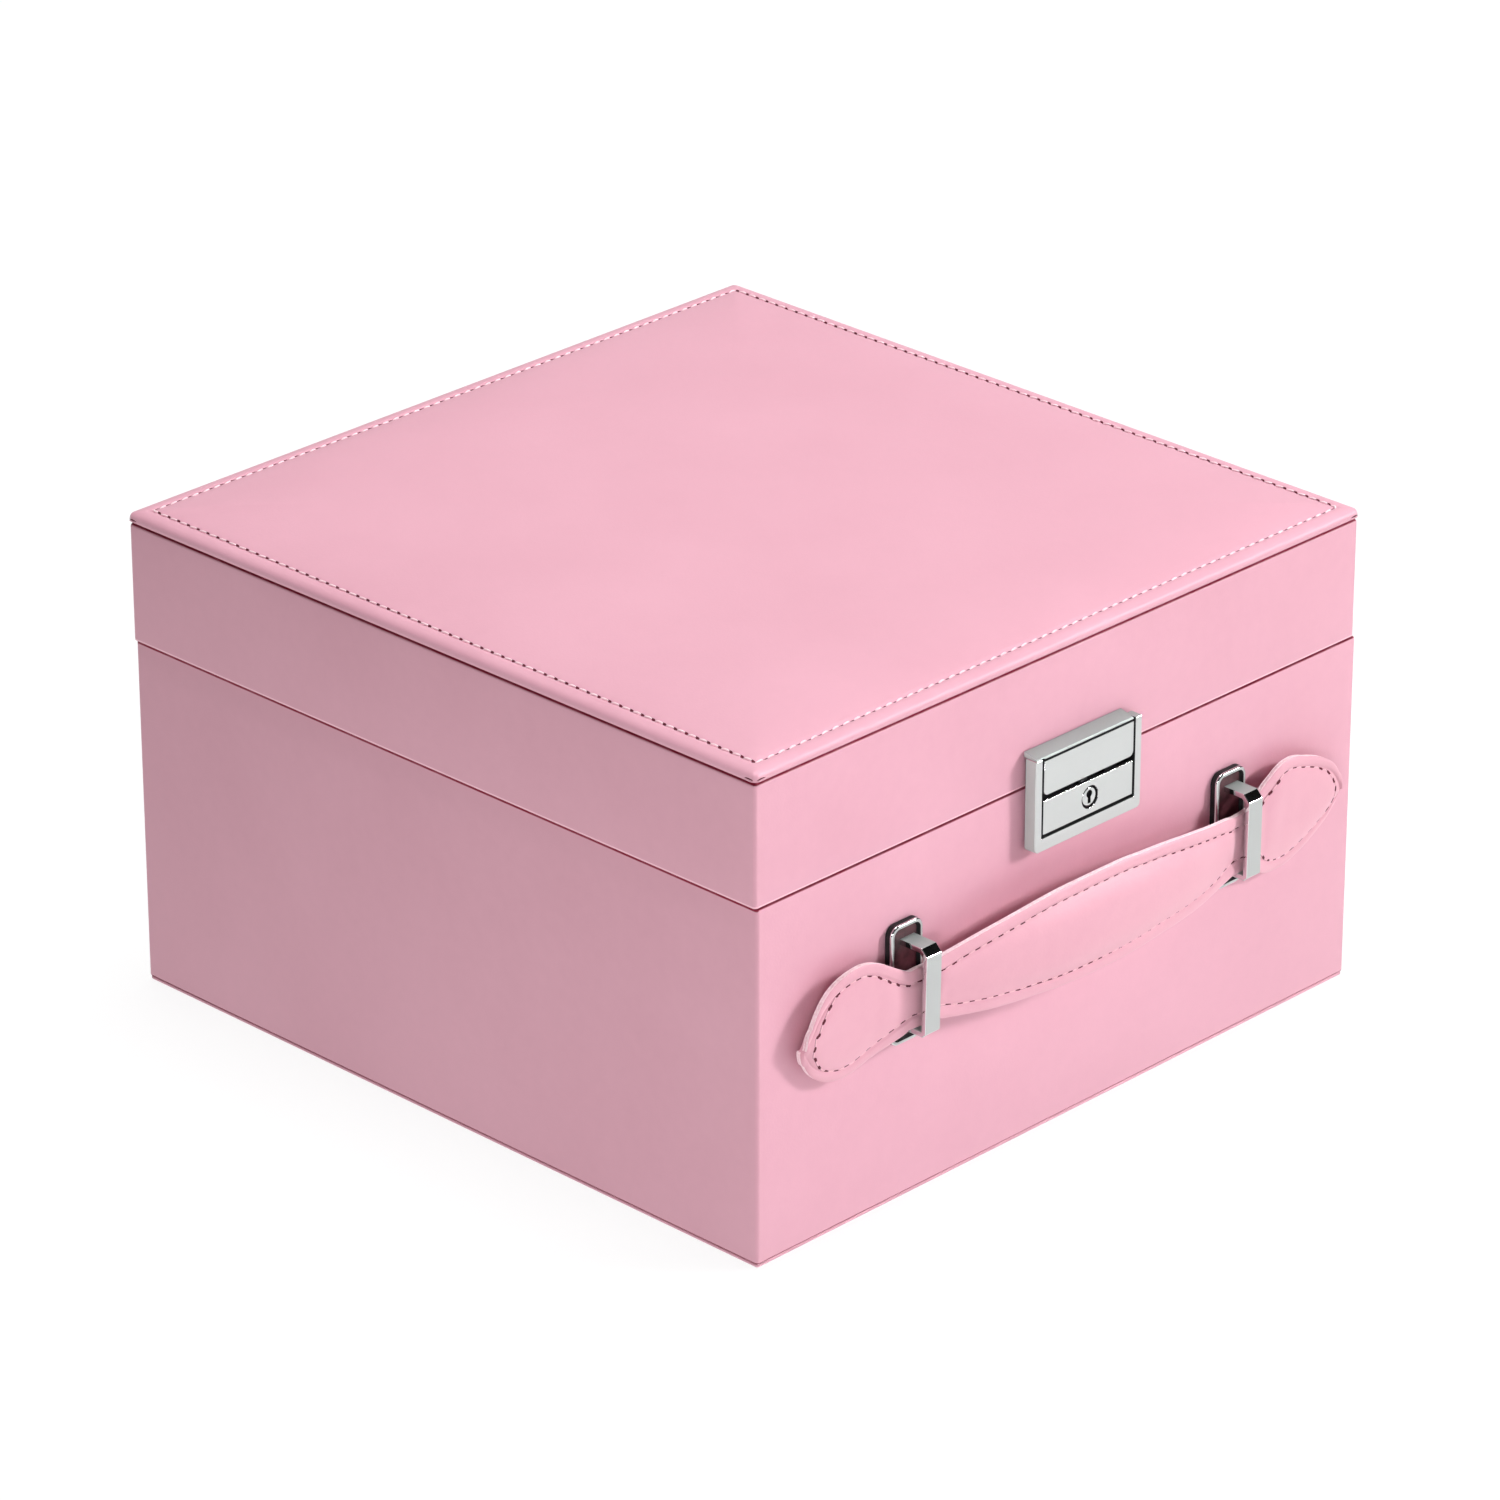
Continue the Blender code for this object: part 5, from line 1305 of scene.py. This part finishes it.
soft_piece("mirror_frame_pad", prof, 90.0, 90.0, 4.0, "lid", ("mirror_frame",), 0.05, 0.06, 13.0, 8, 24,
           closed=True, mat=M_TOP)
line = []
pts = rr_path(90.0 - 2.2, 90.0 - 2.2, 2.0, 8, 160)
for i in range(len(pts) + 1):
    p, q, o = pts[i % len(pts)], pts[(i + 1) % len(pts)], pts[(i - 1) % len(pts)]
    d = Vector((q[0] - o[0], q[1] - o[1], 0)).normalized()
    line.append(((p[0], p[1], 125.66), (-d.y, d.x, 0.0), (0.0, 0.0, -1.0)))
stitches("mirror_frame_stitch", line, "lid", 3.87, 2.7, 0.22, 0.22, hole=0.3)

# ================================================================== FLOOR, LIGHT, CAMERA
bm = bmesh.new()
bmesh.ops.create_grid(bm, x_segments=8, y_segments=8, size=6.0)
floor_me = bpy.data.meshes.new("floor")
bm.to_mesh(floor_me)
bm.free()
floor = bpy.data.objects.new("floor", floor_me)
floor.location = (0, 0, -0.0002)
bpy.context.scene.collection.objects.link(floor)
mf, nt, bs = new_mat("floor_mat")
bs.inputs["Base Color"].default_value = (0.14, 0.14, 0.14, 1)
bs.inputs["Roughness"].default_value = 0.8
bs.inputs["Specular IOR Level"].default_value = 0.1
bs.inputs["Emission Color"].default_value = (1.0, 1.0, 1.0, 1)
bs.inputs["Emission Strength"].default_value = 0.88
floor_me.materials.append(mf)

world = bpy.data.worlds.new("studio")
bpy.context.scene.world = world
world.use_nodes = True
wt = world.node_tree
bg = wt.nodes["Background"]
# a dim room with one dark doorway high on the right and a pale wall behind
gen = wt.nodes.new("ShaderNodeTexCoord").outputs["Generated"]


def toward(direction, inner, outer):
    """1 within `inner` degrees of a direction, fading to 0 at `outer`."""
    d = Vector(direction).normalized()
    dot = wt.nodes.new("ShaderNodeVectorMath")
    dot.operation = 'DOT_PRODUCT'
    dot.inputs[1].default_value = d
    wt.links.new(gen, dot.inputs[0])
    r = wt.nodes.new("ShaderNodeMapRange")
    r.interpolation_type = 'SMOOTHSTEP'
    r.inputs["From Min"].default_value = math.cos(math.radians(outer))
    r.inputs["From Max"].default_value = math.cos(math.radians(inner))
    wt.links.new(dot.outputs["Value"], r.inputs["Value"])
    return r.outputs["Result"]


door = toward((0.65, -0.43, 0.626), 11.0, 17.0)
wall = toward((0.66, 0.64, 0.40), 12.0, 32.0)
level = math_node(wt, 'MULTIPLY', math_node(wt, 'SUBTRACT', 1.0, math_node(wt, 'MULTIPLY', door, 0.97)),
                  math_node(wt, 'ADD', 1.0, math_node(wt, 'MULTIPLY', wall, 2.6)))
bg.inputs["Color"].default_value = (1.0, 1.0, 1.0, 1.0)
wt.links.new(math_node(wt, 'MULTIPLY', level, 0.09), bg.inputs["Strength"])


def area(name, loc, target, size, power, size_y=None):
    ld = bpy.data.lights.new(name, 'AREA')
    ld.shape = 'RECTANGLE'
    ld.size = size
    ld.size_y = size_y or size
    ld.energy = power
    ob = bpy.data.objects.new(name, ld)
    ob.location = loc
    d = Vector(target) - Vector(loc)
    ob.rotation_euler = d.to_track_quat('-Z', 'Y').to_euler()
    bpy.context.scene.collection.objects.link(ob)
    return ob


area("key", (1.05, -1.15, 0.72), (0, 0, 0.07), 0.29, 21.5)
area("overhead", (0.14, 0.10, 2.2), (0, 0, 0.1), 1.1, 43.6)
corner = area("corner_fill", (-1.0, -0.95, 0.40), (-0.115, -0.13, 0.08), 0.22, 0.15)
corner.data.spread = math.radians(26)

cam_data = bpy.data.cameras.new("camera")
cam_data.sensor_fit = 'HORIZONTAL'
cam_data.sensor_width = 36.0
cam_data.lens = 175.106
cam_data.clip_start = 0.05
cam_data.clip_end = 30.0
cam = bpy.data.objects.new("camera", cam_data)
right = Vector((0.698370, -0.715736, -0.000398))
up = Vector((0.305941, 0.298014, 0.904206))
back = Vector((-0.647054, -0.631592, 0.427097))
cam.matrix_world = Matrix(((right.x, up.x, back.x, -1.273166), (right.y, up.y, back.y, -1.244568),
                           (right.z, up.z, back.z, 0.909644), (0, 0, 0, 1)))
bpy.context.scene.collection.objects.link(cam)
bpy.context.scene.camera = cam
bpy.context.scene.view_settings.view_transform = 'Standard'
